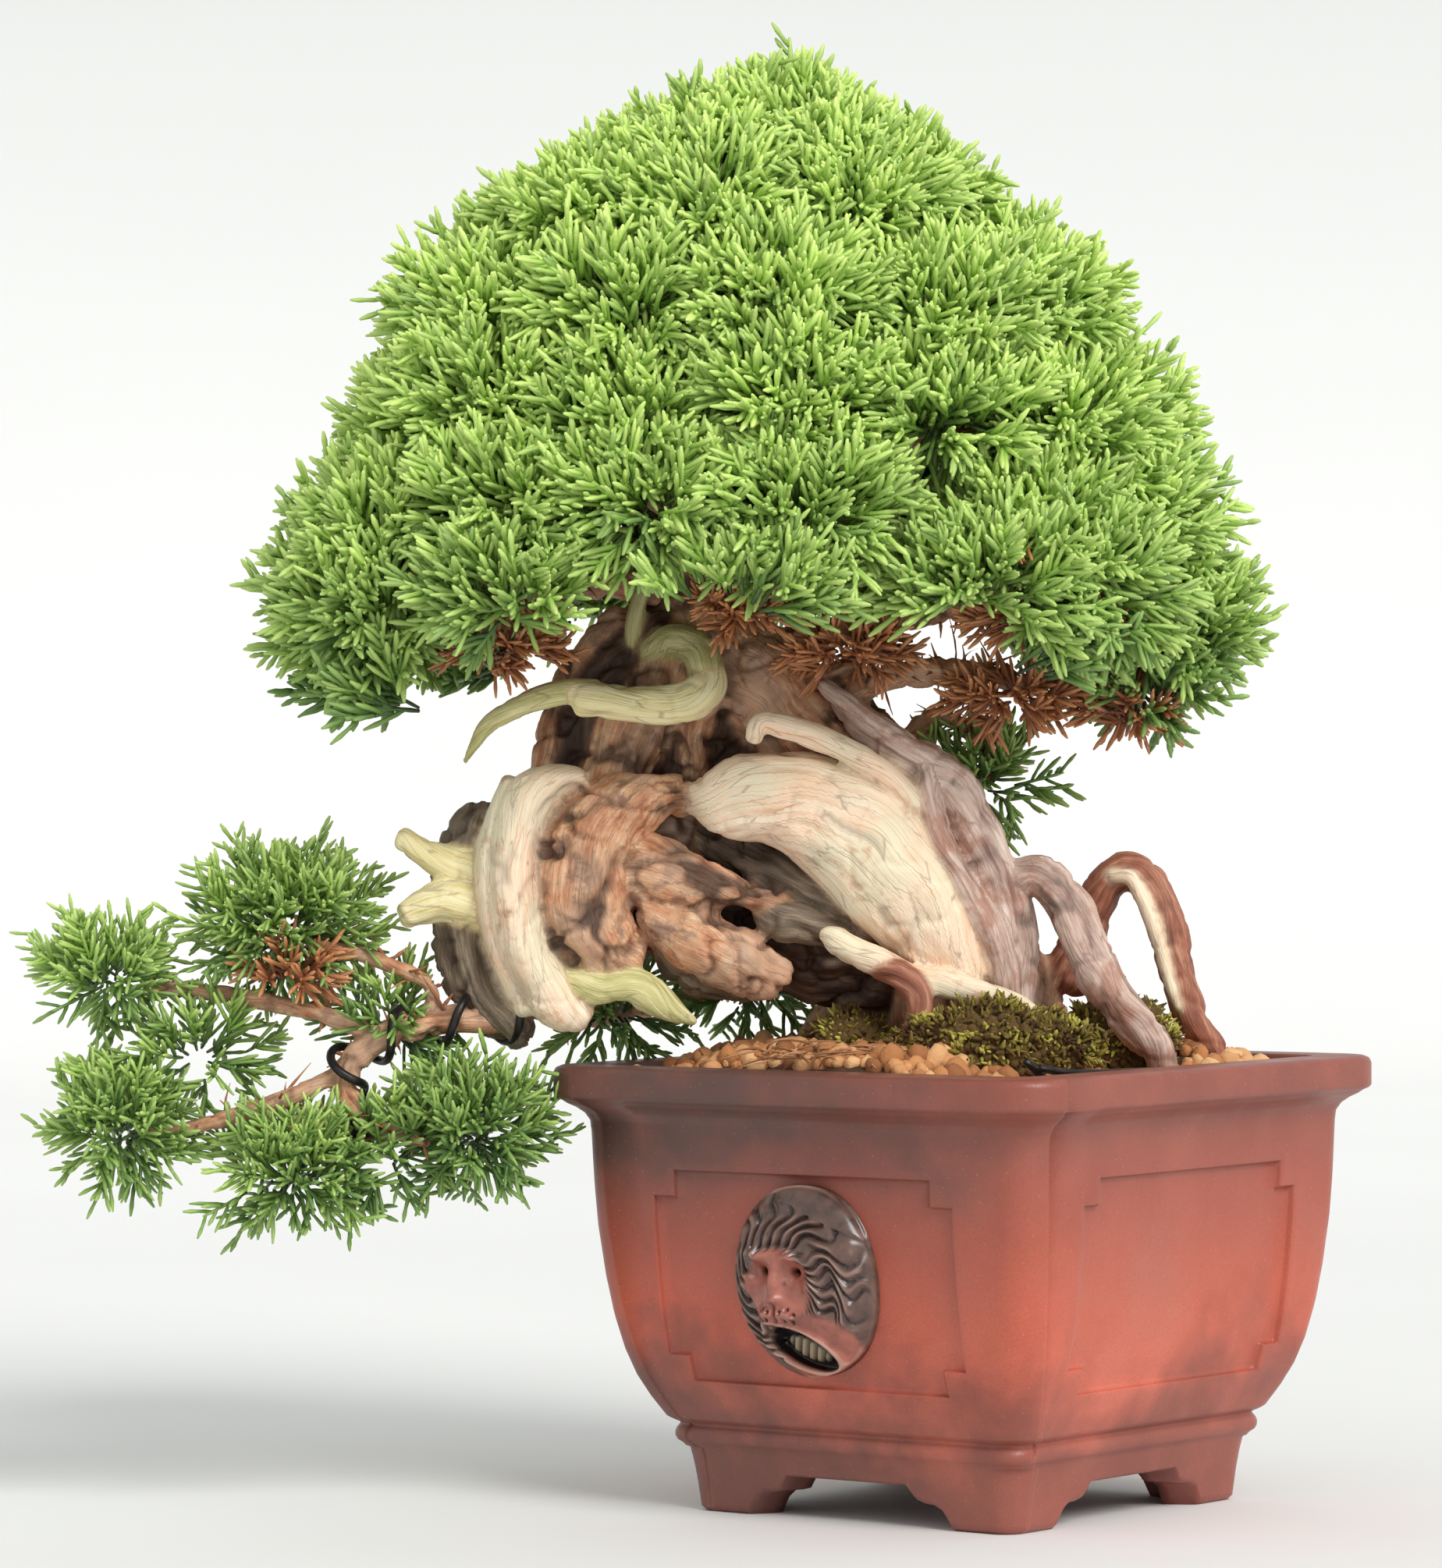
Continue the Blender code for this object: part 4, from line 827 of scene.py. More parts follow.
# Each limb: its finish, then stations of x, y, z, half width and half depth in millimetres in the
# tree's axes. Width is across the path as seen from the front, depth is towards the back.
TRUNK_LIMBS = [
    # The five dark limbs fill the hollow behind the lobes; their dark colour is painted shade.
    ("dark", [(-68, 3, 118, 8, 7), (-67, 4, 130, 8, 7), (-62, 4, 142, 9, 8), (-52, 3, 154, 8, 7)]),
    ("dark", [(-50, 3, 122, 7, 6), (-46, 3, 132, 8, 7), (-44, 3, 144, 9, 8), (-46, 3, 156, 7, 7)]),
    ("dark", [(-40, 3, 118, 5, 5), (-34, 3, 128, 8, 7), (-26, 3, 136, 9, 8), (-18, 2, 132, 9, 8)]),
    ("dark", [(-60, 2, 120, 8, 6), (-49, 2, 118, 9, 7), (-36, 2, 113, 9, 7)]),
    ("dark", [(-66, 1, 104, 8, 6), (-54, 1, 106, 8, 7), (-42, 1, 103, 9, 7), (-28, 1, 99, 10, 8),
              (-14, 3, 96, 10, 9)]),
    ("bark", [(6, 4, 62, 13, 13), (3, 3, 80, 16, 15), (0, 2, 95, 14, 13), (-5, 1, 108, 12, 12),
              (-12, 1, 120, 11.5, 12), (-22, 1, 132, 11, 11), (-33, 1, 142, 10, 10),
              (-43, 3, 150, 8.5, 8.5), (-46, 3, 160, 7.5, 7.5), (-45, 2, 172, 6.3, 6.3),
              (-41, 0, 188, 5, 5), (-36, 0, 206, 3.8, 3.8), (-33, 0, 224, 2.4, 2.4),
              (-33, 0, 240, 1.5, 1.5)]),
    ("dead", [(-47, -9, 124.0, 3.0, 3), (-44, -11, 124.0, 5.4, 4.5), (-39.5, -12, 124.2, 7.6, 5.5),
              (-34, -13, 124.4, 8.3, 6.3), (-27, -13.5, 122.6, 9.4, 7), (-18.5, -14, 117.5, 11, 7.5),
              (-12.5, -14, 111, 10.8, 7.5), (-7, -13.5, 104, 9.4, 7), (-3, -13, 98.5, 7.6, 6),
              (1, -12, 93, 5.6, 5)]),
    ("dead", [(-36.8, -18, 134.6, 1.6, 2.0), (-35.2, -19, 137.4, 2.0, 2.4),
              (-32.2, -18.5, 136.8, 2.2, 2.4), (-26.8, -18, 135.2, 2.3, 2.6),
              (-21.2, -18, 132.7, 2.3, 3), (-15.6, -17.5, 129.4, 2.3, 3.2),
              (-10.9, -16.5, 125.4, 2.2, 3.2), (-8, -15, 121.6, 1.8, 3)]),
    ("vein", [(-25, -11, 143.8, 1.0, 2), (-21.2, -12, 140.4, 2.2, 2.6), (-16.3, -12.5, 136.4, 3.0, 3.2),
              (-11.4, -13, 132.4, 3.4, 3.8), (-6.5, -12.5, 129.2, 3.8, 4), (-2.3, -12, 126.4, 4, 4.4),
              (0.4, -11, 121.5, 4.2, 4.6), (2.7, -10.5, 116.5, 4.4, 5), (5, -10, 111, 4.6, 5.4),
              (7.5, -9, 104, 4.6, 6), (8.5, -8, 96, 4.4, 6), (8, -8, 88, 4.5, 6)]),
    ("vein", [(-7.2, -14.5, 128.5, 2.2, 3), (-6.4, -15.5, 122.5, 2.4, 3.4),
              (-4.6, -15.5, 116, 2.6, 4), (-1.6, -15, 110.4, 2.8, 4.4), (1.6, -14.5, 104.8, 3, 4.6),
              (4.2, -14, 99.5, 3, 4.6), (6, -13, 94, 3.2, 4.4), (7, -12, 88, 3, 4)]),
    ("bark", [(-49, -8, 124.5, 2.5, 5), (-53, -9, 124.6, 4.2, 7), (-59, -9, 122.6, 6.4, 8.5),
              (-64, -9, 118.2, 8.4, 10), (-66.5, -9, 112, 9.4, 11), (-66.4, -9, 105.5, 9.2, 10.5),
              (-63, -9, 99.6, 7.0, 9), (-58.5, -8, 97.2, 4.6, 6.5)]),
    ("dead", [(-66.4, -10, 128.2, 1.6, 4), (-71, -10, 127.6, 3.2, 6), (-75.2, -10, 124.8, 4.6, 8),
              (-77.6, -9.5, 119.4, 5.2, 9.5), (-78.4, -9.5, 112.6, 5.4, 10.5),
              (-78.1, -9.5, 104.8, 5.3, 10.5), (-76.4, -10, 97.8, 5.0, 9), (-73.4, -10.5, 92, 5.0, 7),
              (-69.8, -11, 88, 4.4, 4.6), (-66.6, -11, 86.4, 3.0, 3)]),
    ("dead", [(-79, -9, 127.6, 1.6, 4), (-81.4, -8.5, 122, 2.0, 6), (-83.2, -8, 114, 2.2, 7),
              (-83, -8, 106, 2.2, 7), (-81.4, -8, 98.6, 2.2, 6), (-79, -9, 92.4, 2.4, 5),
              (-76.4, -10, 87.6, 2.2, 3.4)]),
    ("grey", [(-84, 2, 122, 4, 7), (-86.8, 1, 115.8, 4.8, 8), (-88.6, 0, 106, 5.2, 8),
              (-87.4, -1, 97, 5, 7), (-83.6, -3, 89, 4.6, 6), (-78, -4, 84, 3.6, 4.6)]),
    ("bark", [(-72, -2, 104, 12, 10), (-70, -2, 93, 7, 6)]),
    ("cream", [(-86, -5, 112, 4.2, 4.2), (-91.4, -6, 113.6, 3.4, 3.2), (-95.2, -7, 115.6, 2.6, 2.6),
              (-98.2, -7, 117.6, 2.4, 2.4)]),
    ("cream", [(-84, -6, 106, 4.6, 4.6), (-90, -7.5, 107, 4.0, 4.0), (-95, -8, 105.6, 3.4, 3.4),
               (-97.6, -8.5, 104.4, 2.8, 2.8)]),
    ("bark", [(-62, -6, 112, 6.4, 8), (-55, -10, 112, 6.2, 7), (-49, -12, 110.6, 5.4, 6),
              (-43, -12.5, 108.8, 4.0, 4.8), (-38, -12, 107.2, 2.9, 4), (-33, -11, 106, 2.4, 3)]),
    ("grey", [(-43, -4, 117, 4.4, 5), (-36, -5, 112.6, 4.8, 5.4), (-29, -6, 109, 4.8, 5.4),
              (-22.6, -7, 105.4, 4.6, 5), (-17, -7, 101, 4.6, 5)]),
    ("grey", [(-36.4, -10.5, 105.4, 1.8, 2), (-33, -12, 103.2, 3.5, 3.4), (-29.4, -11.5, 102.6, 3.6, 3.2),
              (-25.4, -10.5, 101.4, 3.4, 3), (-21, -9, 101, 2.6, 3)]),
    ("bark", [(-55.4, -9, 106.6, 2.2, 4), (-52.4, -10.5, 103.8, 4.4, 5.4),
              (-47.4, -11.5, 100.2, 5.6, 6), (-41.6, -12, 97, 6, 6), (-36.4, -12, 94.4, 5.2, 5.2),
              (-32.4, -11.5, 93, 3.4, 3.8)]),
    ("grey", [(-53.4, -5, 101.6, 2.8, 4), (-50.8, -6, 97.6, 4.2, 4.4), (-46.2, -7, 94.2, 4.2, 4.2),
              (-41, -8, 92, 3.4, 3.6), (-36.4, -8, 91.4, 2.2, 2.6)]),
    ("green", [(-69, -11, 92.2, 4, 3.4), (-64, -12.5, 92.2, 3.5, 3.2), (-58.6, -13.4, 92.2, 3.0, 3),
               (-55, -13.8, 90.4, 3.3, 2.8), (-51.2, -14, 88, 2.4, 2.2), (-47.2, -14.2, 85.6, 0.9, 1.0)]),
    ("green", [(-54, -3, 150, 2.6, 3), (-50, -6, 151.8, 3.2, 3.2), (-46.2, -9.5, 149.8, 3.4, 3.2),
               (-44.8, -12.5, 145.8, 3.5, 3.2)]),
    ("cream", [(-45.4, -11.5, 148, 2.6, 2.6), (-44.6, -13, 145, 3.5, 3.0), (-46.6, -14.5, 142, 3.8, 3.0),
              (-51, -15, 140.7, 3.7, 3), (-57.4, -14.6, 140.7, 3.3, 2.8), (-62.6, -14, 141.3, 3.1, 2.7),
              (-66.6, -13.4, 141.7, 3.2, 2.6)]),
    ("green", [(-64, -13, 142.6, 2.6, 2.2), (-69, -12.6, 143, 2.3, 1.9), (-74, -12, 141.8, 2.2, 1.7),
               (-79.2, -11, 139.6, 1.9, 1.5), (-83.2, -10, 136.8, 1.5, 1.2), (-85.4, -9.4, 133.6, 1.0, 0.9),
               (-87, -9, 130.8, 0.5, 0.5)]),
    ("green", [(-56.4, 0, 144, 2.4, 2.4), (-57.6, -2, 150, 1.8, 1.8), (-57.2, -3, 156, 1.6, 1.6),
               (-55, -3, 163, 1.4, 1.4)]),
    ("bark", [(-73.4, -1, 126, 3, 3), (-72.4, 1, 133, 3.1, 3.1), (-70.8, 2, 140, 3, 3),
              (-68, 2, 147, 3.2, 3.2), (-59, 2, 155, 4, 4)]),
    ("bark", [(-62, -3, 124, 6, 5), (-60, -3, 131, 6.2, 5.6), (-56.6, -2, 138, 6.8, 6),
              (-52, 1, 146, 7.6, 7), (-48, 3, 156, 7, 7)]),
    ("bark", [(-47, -2, 130, 2.8, 4), (-46.4, -1, 136, 3.6, 4.5), (-44, 0, 143, 5, 6)]),
    ("dead", [(-24.4, -16.5, 100.6, 1.6, 1.6), (-22.4, -17.6, 99.4, 2.6, 2.2),
              (-19.4, -18, 97.6, 2.7, 2.4), (-14.9, -18.4, 95.6, 2.8, 2.4), (-10, -18.6, 93.3, 2.3, 2.2),
              (-3.7, -18.8, 91.8, 2.6, 2.2), (3.2, -19.2, 90.4, 2.1, 2.0), (9.4, -20, 88, 1.8, 1.8),
              (13.6, -22, 83.8, 1.6, 1.6), (15.4, -23, 77, 1.4, 1.4)]),
    ("red", [(-15.6, -18.4, 95, 2.4, 2.2), (-11.6, -19.6, 93.6, 2.7, 2.5), (-8.8, -20.4, 90.6, 2.6, 2.4),
             (-8.5, -20.8, 87, 2.3, 2.2), (-10, -21, 83.4, 2.0, 2.0), (-11.8, -21.4, 80, 1.7, 1.7),
             (-12.6, -21.6, 74, 1.6, 1.6)]),
    ("vein", [(6, -6, 104, 4.6, 5), (8.8, -9.5, 109, 3.8, 4), (12.6, -12, 110.6, 3.6, 3.6),
              (16.2, -13.6, 106.6, 3.8, 3.4), (19.6, -14.8, 99.6, 4.0, 3.4), (23.2, -15.8, 92.6, 3.9, 3.4),
              (27.8, -16.8, 86.4, 3.7, 3.2), (32.4, -17.4, 80.8, 3.5, 3), (34.6, -16.6, 74, 2.6, 2.6)]),
    ("red", [(18, 3, 92, 5, 5), (22.4, 2, 102.6, 3.6, 3.8), (24.8, 1, 108.6, 3.3, 3.8),
             (28.8, 0.4, 111, 3.3, 3.8), (33, -0.6, 107.6, 3.6, 4), (35.8, -1.6, 100, 3.6, 3.8),
             (37.4, -2.2, 92, 3.2, 3.4), (40, -2.4, 84.4, 2.9, 3), (43.6, -2.2, 78.8, 2.6, 2.6),
             (45, -1, 73, 2.2, 2.2)]),
    ("dead", [(26, -2.4, 110.2, 1.3, 1.5), (29, -3.8, 109.6, 1.4, 1.6), (31.4, -4.6, 105.4, 1.5, 1.6),
              (33.8, -5.2, 99, 1.4, 1.6), (35.4, -5.4, 92, 1.1, 1.4), (37.2, -5.2, 87, 0.7, 1.0)]),
    ("red", [(0, -18, 91.8, 1.6, 1.6), (2.6, -20.4, 88.6, 1.8, 1.6), (4.4, -22.2, 84.6, 1.6, 1.5),
             (5.6, -24.4, 80, 1.3, 1.3), (6, -25, 76, 1.1, 1.1)]),
    ("bark", [(0, 12, 92, 8, 8), (4, 24, 84, 5, 5), (8, 33, 75, 3.4, 3.4), (10, 36, 68, 2.4, 2.4)]),
    ("bark", [(-12, 8, 92, 8, 8), (-22, 14, 84, 5, 5), (-28, 18, 75, 3.2, 3.2), (-29, 19, 69, 2.2, 2.2)]),
]

# Round limbs: stations of x, y, z and radius.
BRANCH_LIMBS = [
    [(-46, 3, 158, 6), (-60, 1, 162, 3.4), (-80, -1, 159, 2.4), (-100, -3, 155, 1.8)],
    [(-44, 2, 172, 5), (-62, -2, 180, 2.8), (-86, -4, 182, 2.0)],
    [(-38, 1, 150, 6), (-18, -4, 154, 3.4), (4, -8, 157, 2.6), (28, -8, 154, 1.8)],
    [(-26, -2, 140, 6), (-10, -6, 146, 3.2), (6, -6, 145, 2.4), (20, -6, 139, 1.6)],
    [(-14, 4, 128, 6), (-4, 8, 138, 2.6), (2, 7, 134, 1.6), (6, 7, 128, 1.1)],
    [(-43, 0, 164, 5), (-38, -16, 166, 3), (-33, -30, 164, 1.8)],
    [(-46, 5, 164, 5), (-40, 22, 166, 3), (-32, 36, 162, 1.8)],
    [(-42, 0, 180, 4.5), (-20, -2, 186, 2.8), (10, -4, 187, 2.0), (24, -5, 185, 1.6)],
    [(-41, 0, 186, 4), (-50, -16, 186, 2.4), (-60, -28, 184, 1.7)],
    [(-41, 0, 188, 4), (-28, -18, 188, 2.4), (-16, -30, 188, 1.7)],
    [(-41, 2, 188, 4), (-52, 18, 189, 2.4), (-60, 30, 188, 1.7)],
    [(-41, 2, 188, 4), (-22, 18, 189, 2.4), (-6, 28, 188, 1.7)],
    [(-37, 0, 204, 3.4), (-56, 0, 211, 2.2), (-76, 0, 213, 1.6)],
    [(-35, 0, 208, 3.2), (-18, 0, 213, 2.2), (0, 0, 214, 1.6)],
    [(-36, 0, 206, 3), (-38, -14, 211, 2), (-38, -24, 212, 1.6)],
    [(-35, 0, 206, 3), (-34, 14, 212, 2), (-34, 24, 213, 1.6)],
    [(-70, -4, 92, 4.5), (-80, -5, 86.5, 3.2), (-90, -6, 86, 2.8), (-100, -6, 83.5, 2.5),
     (-107, -7, 79.5, 2.2), (-108, -8, 73, 2.0), (-102, -9, 67, 1.8), (-94, -9, 65, 1.6)],
    [(-101, -6, 83, 1.8), (-116, -6, 88, 1.7), (-132, -5, 91, 1.5), (-143, -4, 92, 1.4)],
    [(-94, -6, 86, 1.8), (-94, -5, 92, 1.7), (-104, -5, 97, 1.6), (-114, -4, 99, 1.5)],
    [(-107, -7, 78, 1.8), (-120, -8, 72, 1.7), (-134, -7, 68, 1.5), (-142, -6, 67, 1.4)],
    [(-107, -8, 71, 1.8), (-113, -9, 67, 1.6), (-117, -9, 63, 1.4)],
    [(-76, 1, 92, 4), (-68, 12, 86, 2.4), (-56, 22, 87, 1.8), (-46, 26, 89, 1.5)],
    [(-24, -4, 144, 5), (-18, -8, 149, 2.4), (-16, -10, 151, 2.2)],
]

FINISHES = {"bark": 0, "red": 1, "grey": 2, "vein": 3, "dead": 4, "green": 5, "dark": 6,
            "cream": 7}
BRANCH_SHARE = 0.72                   # of the radii listed above
TUBE_SIDES = 18
WOOD_VOXEL = 0.00050                  # metres, as modifiers work in the frame's own units


def limb_path(stations):
    """Dense stations of a limb with the directions of its width and depth."""
    stations = np.asarray(stations, float)
    if stations.shape[1] == 4:
        stations = np.column_stack([stations, stations[:, 3]])
    path = smooth_path(stations, 6)
    centre, width, depth = path[:, :3], np.maximum(path[:, 3], 0.3), np.maximum(path[:, 4], 0.3)
    forward = unit(np.gradient(centre, axis=0))
    steady = (0, 1, 0) if np.abs(forward[:, 1]).max() < 0.8 else (0.1, 0.1, 1)
    side = unit(np.cross(forward, steady))
    return centre, forward, side, np.cross(side, forward), width, depth


def tube(stations):
    """A closed tube with an oval section and rounded ends."""
    centre, forward, side, back, width, depth = limb_path(stations)
    shares = [(0, -0.45, 0.55), (0, -0.25, 0.85)] + [(i, 0, 1) for i in range(len(centre))]
    shares += [(-1, 0.25, 0.85), (-1, 0.45, 0.55)]
    angles = np.arange(TUBE_SIDES) * tau / TUBE_SIDES
    rings = []
    for i, ahead, scale in shares:
        middle = centre[i] + forward[i] * ahead * min(width[i], depth[i])
        rings.append(middle + scale * (np.outer(np.cos(angles), side[i] * width[i])
                                       + np.outer(np.sin(angles), back[i] * depth[i])))
    points = np.vstack(rings)
    first = np.arange(TUBE_SIDES)[::-1]
    last = len(points) - TUBE_SIDES + np.arange(TUBE_SIDES)
    return points, [list(face) for face in (*grid_faces(len(rings), TUBE_SIDES), first, last)]


def joined_skin(name, limbs):
    """All the limbs as one grown skin."""
    points, faces, count = [], [], 0
    for stations in limbs:
        tube_points, tube_faces = tube(stations)
        points.append(tube_points)
        faces += [[corner + count for corner in face] for face in tube_faces]
        count += len(tube_points)
    mesh = bpy.data.meshes.new(name)
    mesh.from_pydata(placed(np.vstack(points), TREE_AXES, MM), [], faces)
    rough = bpy.data.objects.new(f"{name}_rough", mesh)
    bpy.context.scene.collection.objects.link(rough)
    skin = rough.modifiers.new("skin", "REMESH")
    skin.mode = "VOXEL"
    skin.voxel_size = WOOD_VOXEL
    smooth = rough.modifiers.new("smooth", "SMOOTH")
    smooth.iterations = 3
    depsgraph = bpy.context.evaluated_depsgraph_get()
    made = bpy.data.meshes.new_from_object(rough.evaluated_get(depsgraph))
    bpy.data.objects.remove(rough, do_unlink=True)
    made.shade_smooth()
    return bpy.data.objects.new(name, made)


def mesh_points(mesh, what="co"):
    values = np.zeros(len(mesh.vertices) * 3, np.float32)
    if what == "co":
        mesh.vertices.foreach_get("co", values)
    else:
        mesh.vertex_normals.foreach_get("vector", values)
    return values.reshape(-1, 3).astype(float)


def nearest_limb(points, limbs):
    """For each point: its limb, and its place along and round it in millimetres."""
    best = np.full(len(points), 1e9)
    limb_of = np.zeros(len(points), int)
    along, around = np.zeros(len(points)), np.zeros(len(points))
    for index, stations in enumerate(limbs):
        centre, forward, side, back, width, depth = limb_path(stations)
        reach = max(width.max(), depth.max()) + 4
        near = np.all((points > centre.min(0) - reach) & (points < centre.max(0) + reach), axis=1)
        near = np.flatnonzero(near)
        if not len(near):
            continue
        travelled = np.concatenate([[0], np.cumsum(np.linalg.norm(np.diff(centre, axis=0), axis=1))])
        for part in np.array_split(near, max(1, len(near) // 20000)):
            offset = points[part][:, None] - centre
            a = np.einsum("pij,ij->pi", offset, side) / width
            b = np.einsum("pij,ij->pi", offset, back) / depth
            c = np.einsum("pij,ij->pi", offset, forward) / np.minimum(width, depth)
            score = (np.sqrt(a * a + b * b + c * c) - 1) * np.minimum(width, depth)
            station = score.argmin(axis=1)
            row = np.arange(len(part))
            lower = score[row, station] < best[part]
            chosen, at, row = part[lower], station[lower], row[lower]
            best[chosen] = score[row, at]
            limb_of[chosen] = index
            ahead = np.einsum("pi,pi->p", offset[row, at], forward[at])
            along[chosen] = travelled[at] + ahead
            around[chosen] = np.arctan2(b[row, at], a[row, at]) * (width[at] + depth[at]) / 2
    return limb_of, along, around


def softened(mesh, values, rounds):
    """Values evened out between neighbouring points."""
    ends = np.zeros(len(mesh.edges) * 2, np.int32)
    mesh.edges.foreach_get("vertices", ends)
    ends = ends.reshape(-1, 2)
    neighbours = np.bincount(ends.ravel(), minlength=len(values))
    for _ in range(rounds):
        total = (np.bincount(ends[:, 0], values[ends[:, 1]], len(values))
                 + np.bincount(ends[:, 1], values[ends[:, 0]], len(values)))
        values = (values + total) / (1 + neighbours)
    return values


# For each finish: depth of flutes, of grain and of flakes, in millimetres.
RELIEF = {"bark": (0.30, 0.22, 0.35), "red": (0.35, 0.16, 0.16), "grey": (0.8, 0.35, 0.25),
          "vein": (0.55, 0.22, 0.16), "dead": (0.26, 0.13, 0.0), "green": (0.35, 0.2, 0.05),
          "dark": (0.9, 0.4, 0.5), "cream": (0.3, 0.15, 0.0)}
# For each finish: height of coarse lumps, and depth of crevices, in millimetres.
ROUGHNESS = {"bark": (1.0, 1.3), "red": (0.5, 0.6), "grey": (1.0, 1.2), "vein": (0.7, 0.7),
             "dead": (0.45, 0.45), "green": (0.4, 0.4), "dark": (1.4, 1.6), "cream": (0.5, 0.5)}


def carve_wood(obj, limbs, finishes, seed):
    """Grain, flutes and flakes along each limb, and the values its material reads."""
    mesh = obj.data
    to_tree = np.array(TREE_AXES.inverted().to_3x3())
    points = (mesh_points(mesh) - np.array(TREE_AXES.translation)) @ to_tree.T / MM
    limb_of, along, around = nearest_limb(points, limbs)
    finish = np.array(finishes)[limb_of]
    wander = 1.2 * noise(points / 7, seed)
    grain_place = np.stack([along / 16, (around + wander) / 0.75, limb_of * 7.3], axis=1)
    flute_place = np.stack([along / 22, (around + wander * 2) / 3.2, limb_of * 3.1], axis=1)
    grain = noise(grain_place, seed) + 0.5 * noise(grain_place * (2, 2.1, 1), seed + 1)
    flutes = noise(flute_place, seed + 2)
    flakes = np.abs(noise(np.stack([along / 5, around / 2.2, limb_of * 5.0], axis=1), seed + 3))
    coarse = np.array([ROUGHNESS[name] for name in FINISHES])[finish]
    lumps = noise(points / 7, seed + 4) + 0.6 * noise(points / 3.4, seed + 5)
    warped = points / 6 + 0.35 * noise(points / 4, seed + 6)[:, None]
    crevice = 1 - np.minimum(np.abs(noise(warped * (1, 1, 1.4), seed + 7)) / 0.16, 1)
    depth = np.array([RELIEF[name] for name in FINISHES])[finish]
    rise = (flutes * depth[:, 0] + grain * depth[:, 1] - (flakes < 0.12) * depth[:, 2]
            + lumps * coarse[:, 0] - crevice * coarse[:, 1])
    thin = np.array([min(max(s[3] for s in limb) / 5, 1.0) for limb in limbs])[limb_of]
    rise = softened(mesh, rise * thin, 1)
    moved = mesh_points(mesh) + mesh_points(mesh, "normal") * rise[:, None] * MM
    mesh.vertices.foreach_set("co", moved.astype(np.float32).ravel())
    mesh.update()
    for name, index in FINISHES.items():
        if name != "bark":
            point_values(mesh, name, softened(mesh, (finish == index).astype(float), 3))
    point_values(mesh, "along", along)
    point_values(mesh, "around", around + wander)
    point_values(mesh, "limb", limb_of)
    # How far each point is sunk; the material paints shade in the hollows and a lighter tone on the raised
    # parts from it.
    point_values(mesh, "hollow", softened(mesh, -rise, 1))


# For each finish: three places on its streaks, and the colour at each.
STREAKS = {
    "red": ((0.28, 0.5, 0.72), (104, 56, 42), (160, 98, 74), (206, 156, 128)),
    "grey": ((0.28, 0.5, 0.72), (66, 56, 46), (122, 106, 88), (170, 154, 130)),
    "vein": ((0.28, 0.46, 0.68), (132, 100, 88), (196, 166, 152), (232, 210, 196)),
    "dead": ((0.25, 0.42, 0.7), (220, 160, 118), (250, 214, 182), (253, 238, 214)),
    "green": ((0.25, 0.45, 0.7), (140, 134, 80), (196, 190, 126), (236, 226, 176)),
    # The dark finish is painted shade on the filler limbs in the hollow behind the lobes.
    "dark": ((0.3, 0.5, 0.72), (40, 28, 24), (78, 54, 42), (122, 92, 72)),
    "cream": ((0.25, 0.42, 0.7), (190, 168, 112), (236, 220, 160), (250, 240, 200)),
}


def stretched(tree, long_scale, cross_scale):
    """A place on a limb's surface for a texture that runs along the grain."""
    scales = (("X", "along", long_scale), ("Y", "around", cross_scale), ("Z", "limb", 3.7))
    joined = node(tree, "CombineXYZ", {axis: maths(tree, "MULTIPLY", attribute(tree, name), scale)
                                       for axis, name, scale in scales})
    return joined.outputs[0]


def wood_material(name):
    """Bark, live veins and bleached deadwood, each with grain along its limb, with painted shade in the
    carved hollows and paler raised parts, partly worn and partly painted highlight.
    """
    made, tree, shader = new_material(name, 0.62)
    place = place_in(tree)
    streaks = texture(tree, "Noise", stretched(tree, 0.09, 0.75), 1.0, Detail=5.0, Roughness=0.65)
    fibres = texture(tree, "Noise", stretched(tree, 0.16, 4.5), 1.0, Detail=3.0)
    patches = texture(tree, "Noise", place, 170.0, Detail=4.0, Roughness=0.62)
    broad = texture(tree, "Noise", place, 60.0, Detail=2.0)
    cracks = texture(tree, "Voronoi", stretched(tree, 0.07, 0.75), 1.0,
                     {"feature": "DISTANCE_TO_EDGE"})
    hollow = attribute(tree, "hollow")

    def layered(under, factor, low, high, strength, colour):
        """The colour laid over another where a factor goes from low to high."""
        return mix(tree, grade(tree, factor, low, high, 0.0, strength), under, srgb(*colour))

    tinted = ramp(tree, mix(tree, 0.5, streaks, patches), (0.32, srgb(124, 70, 50)),
                  (0.44, srgb(198, 138, 102)), (0.54, srgb(228, 184, 146)),
                  (0.68, srgb(248, 222, 194)))
    tinted = layered(tinted, patches, 0.50, 0.62, 0.7, (112, 62, 50))
    tinted = layered(tinted, broad, 0.52, 0.60, 0.6, (206, 168, 140))
    colours = {finish: ramp(tree, streaks, *zip(places, (srgb(*stop) for stop in stops)))
               for finish, (places, *stops) in STREAKS.items()}
    colours["vein"] = layered(colours["vein"], patches, 0.50, 0.60, 0.6, (170, 112, 90))
    colours["dead"] = layered(colours["dead"], broad, 0.40, 0.60, 0.7, (234, 228, 196))
    colours["dead"] = layered(colours["dead"], patches, 0.60, 0.70, 0.5, (196, 140, 104))
    for finish, colour in colours.items():
        tinted = mix(tree, attribute(tree, finish), tinted, colour)
    tinted = layered(tinted, cracks, 0.04, 0.0, 0.45, (92, 60, 42))
    # Painted shade: darker where the surface is carved down.
    tinted = layered(tinted, hollow, 0.25, 1.3, 0.85, (58, 38, 28))
    # Paler on the raised parts: partly worn bark, partly painted highlight.
    tinted = layered(tinted, hollow, -0.5, -1.3, 0.35, (232, 206, 180))
    tree.links.new(tinted, shader.inputs["Base Color"])
    relief = maths(tree, "ADD", fibres, maths(tree, "MULTIPLY", patches, 0.8))
    tree.links.new(bump(tree, relief, 0.5, 0.0004), shader.inputs["Normal"])
    return made


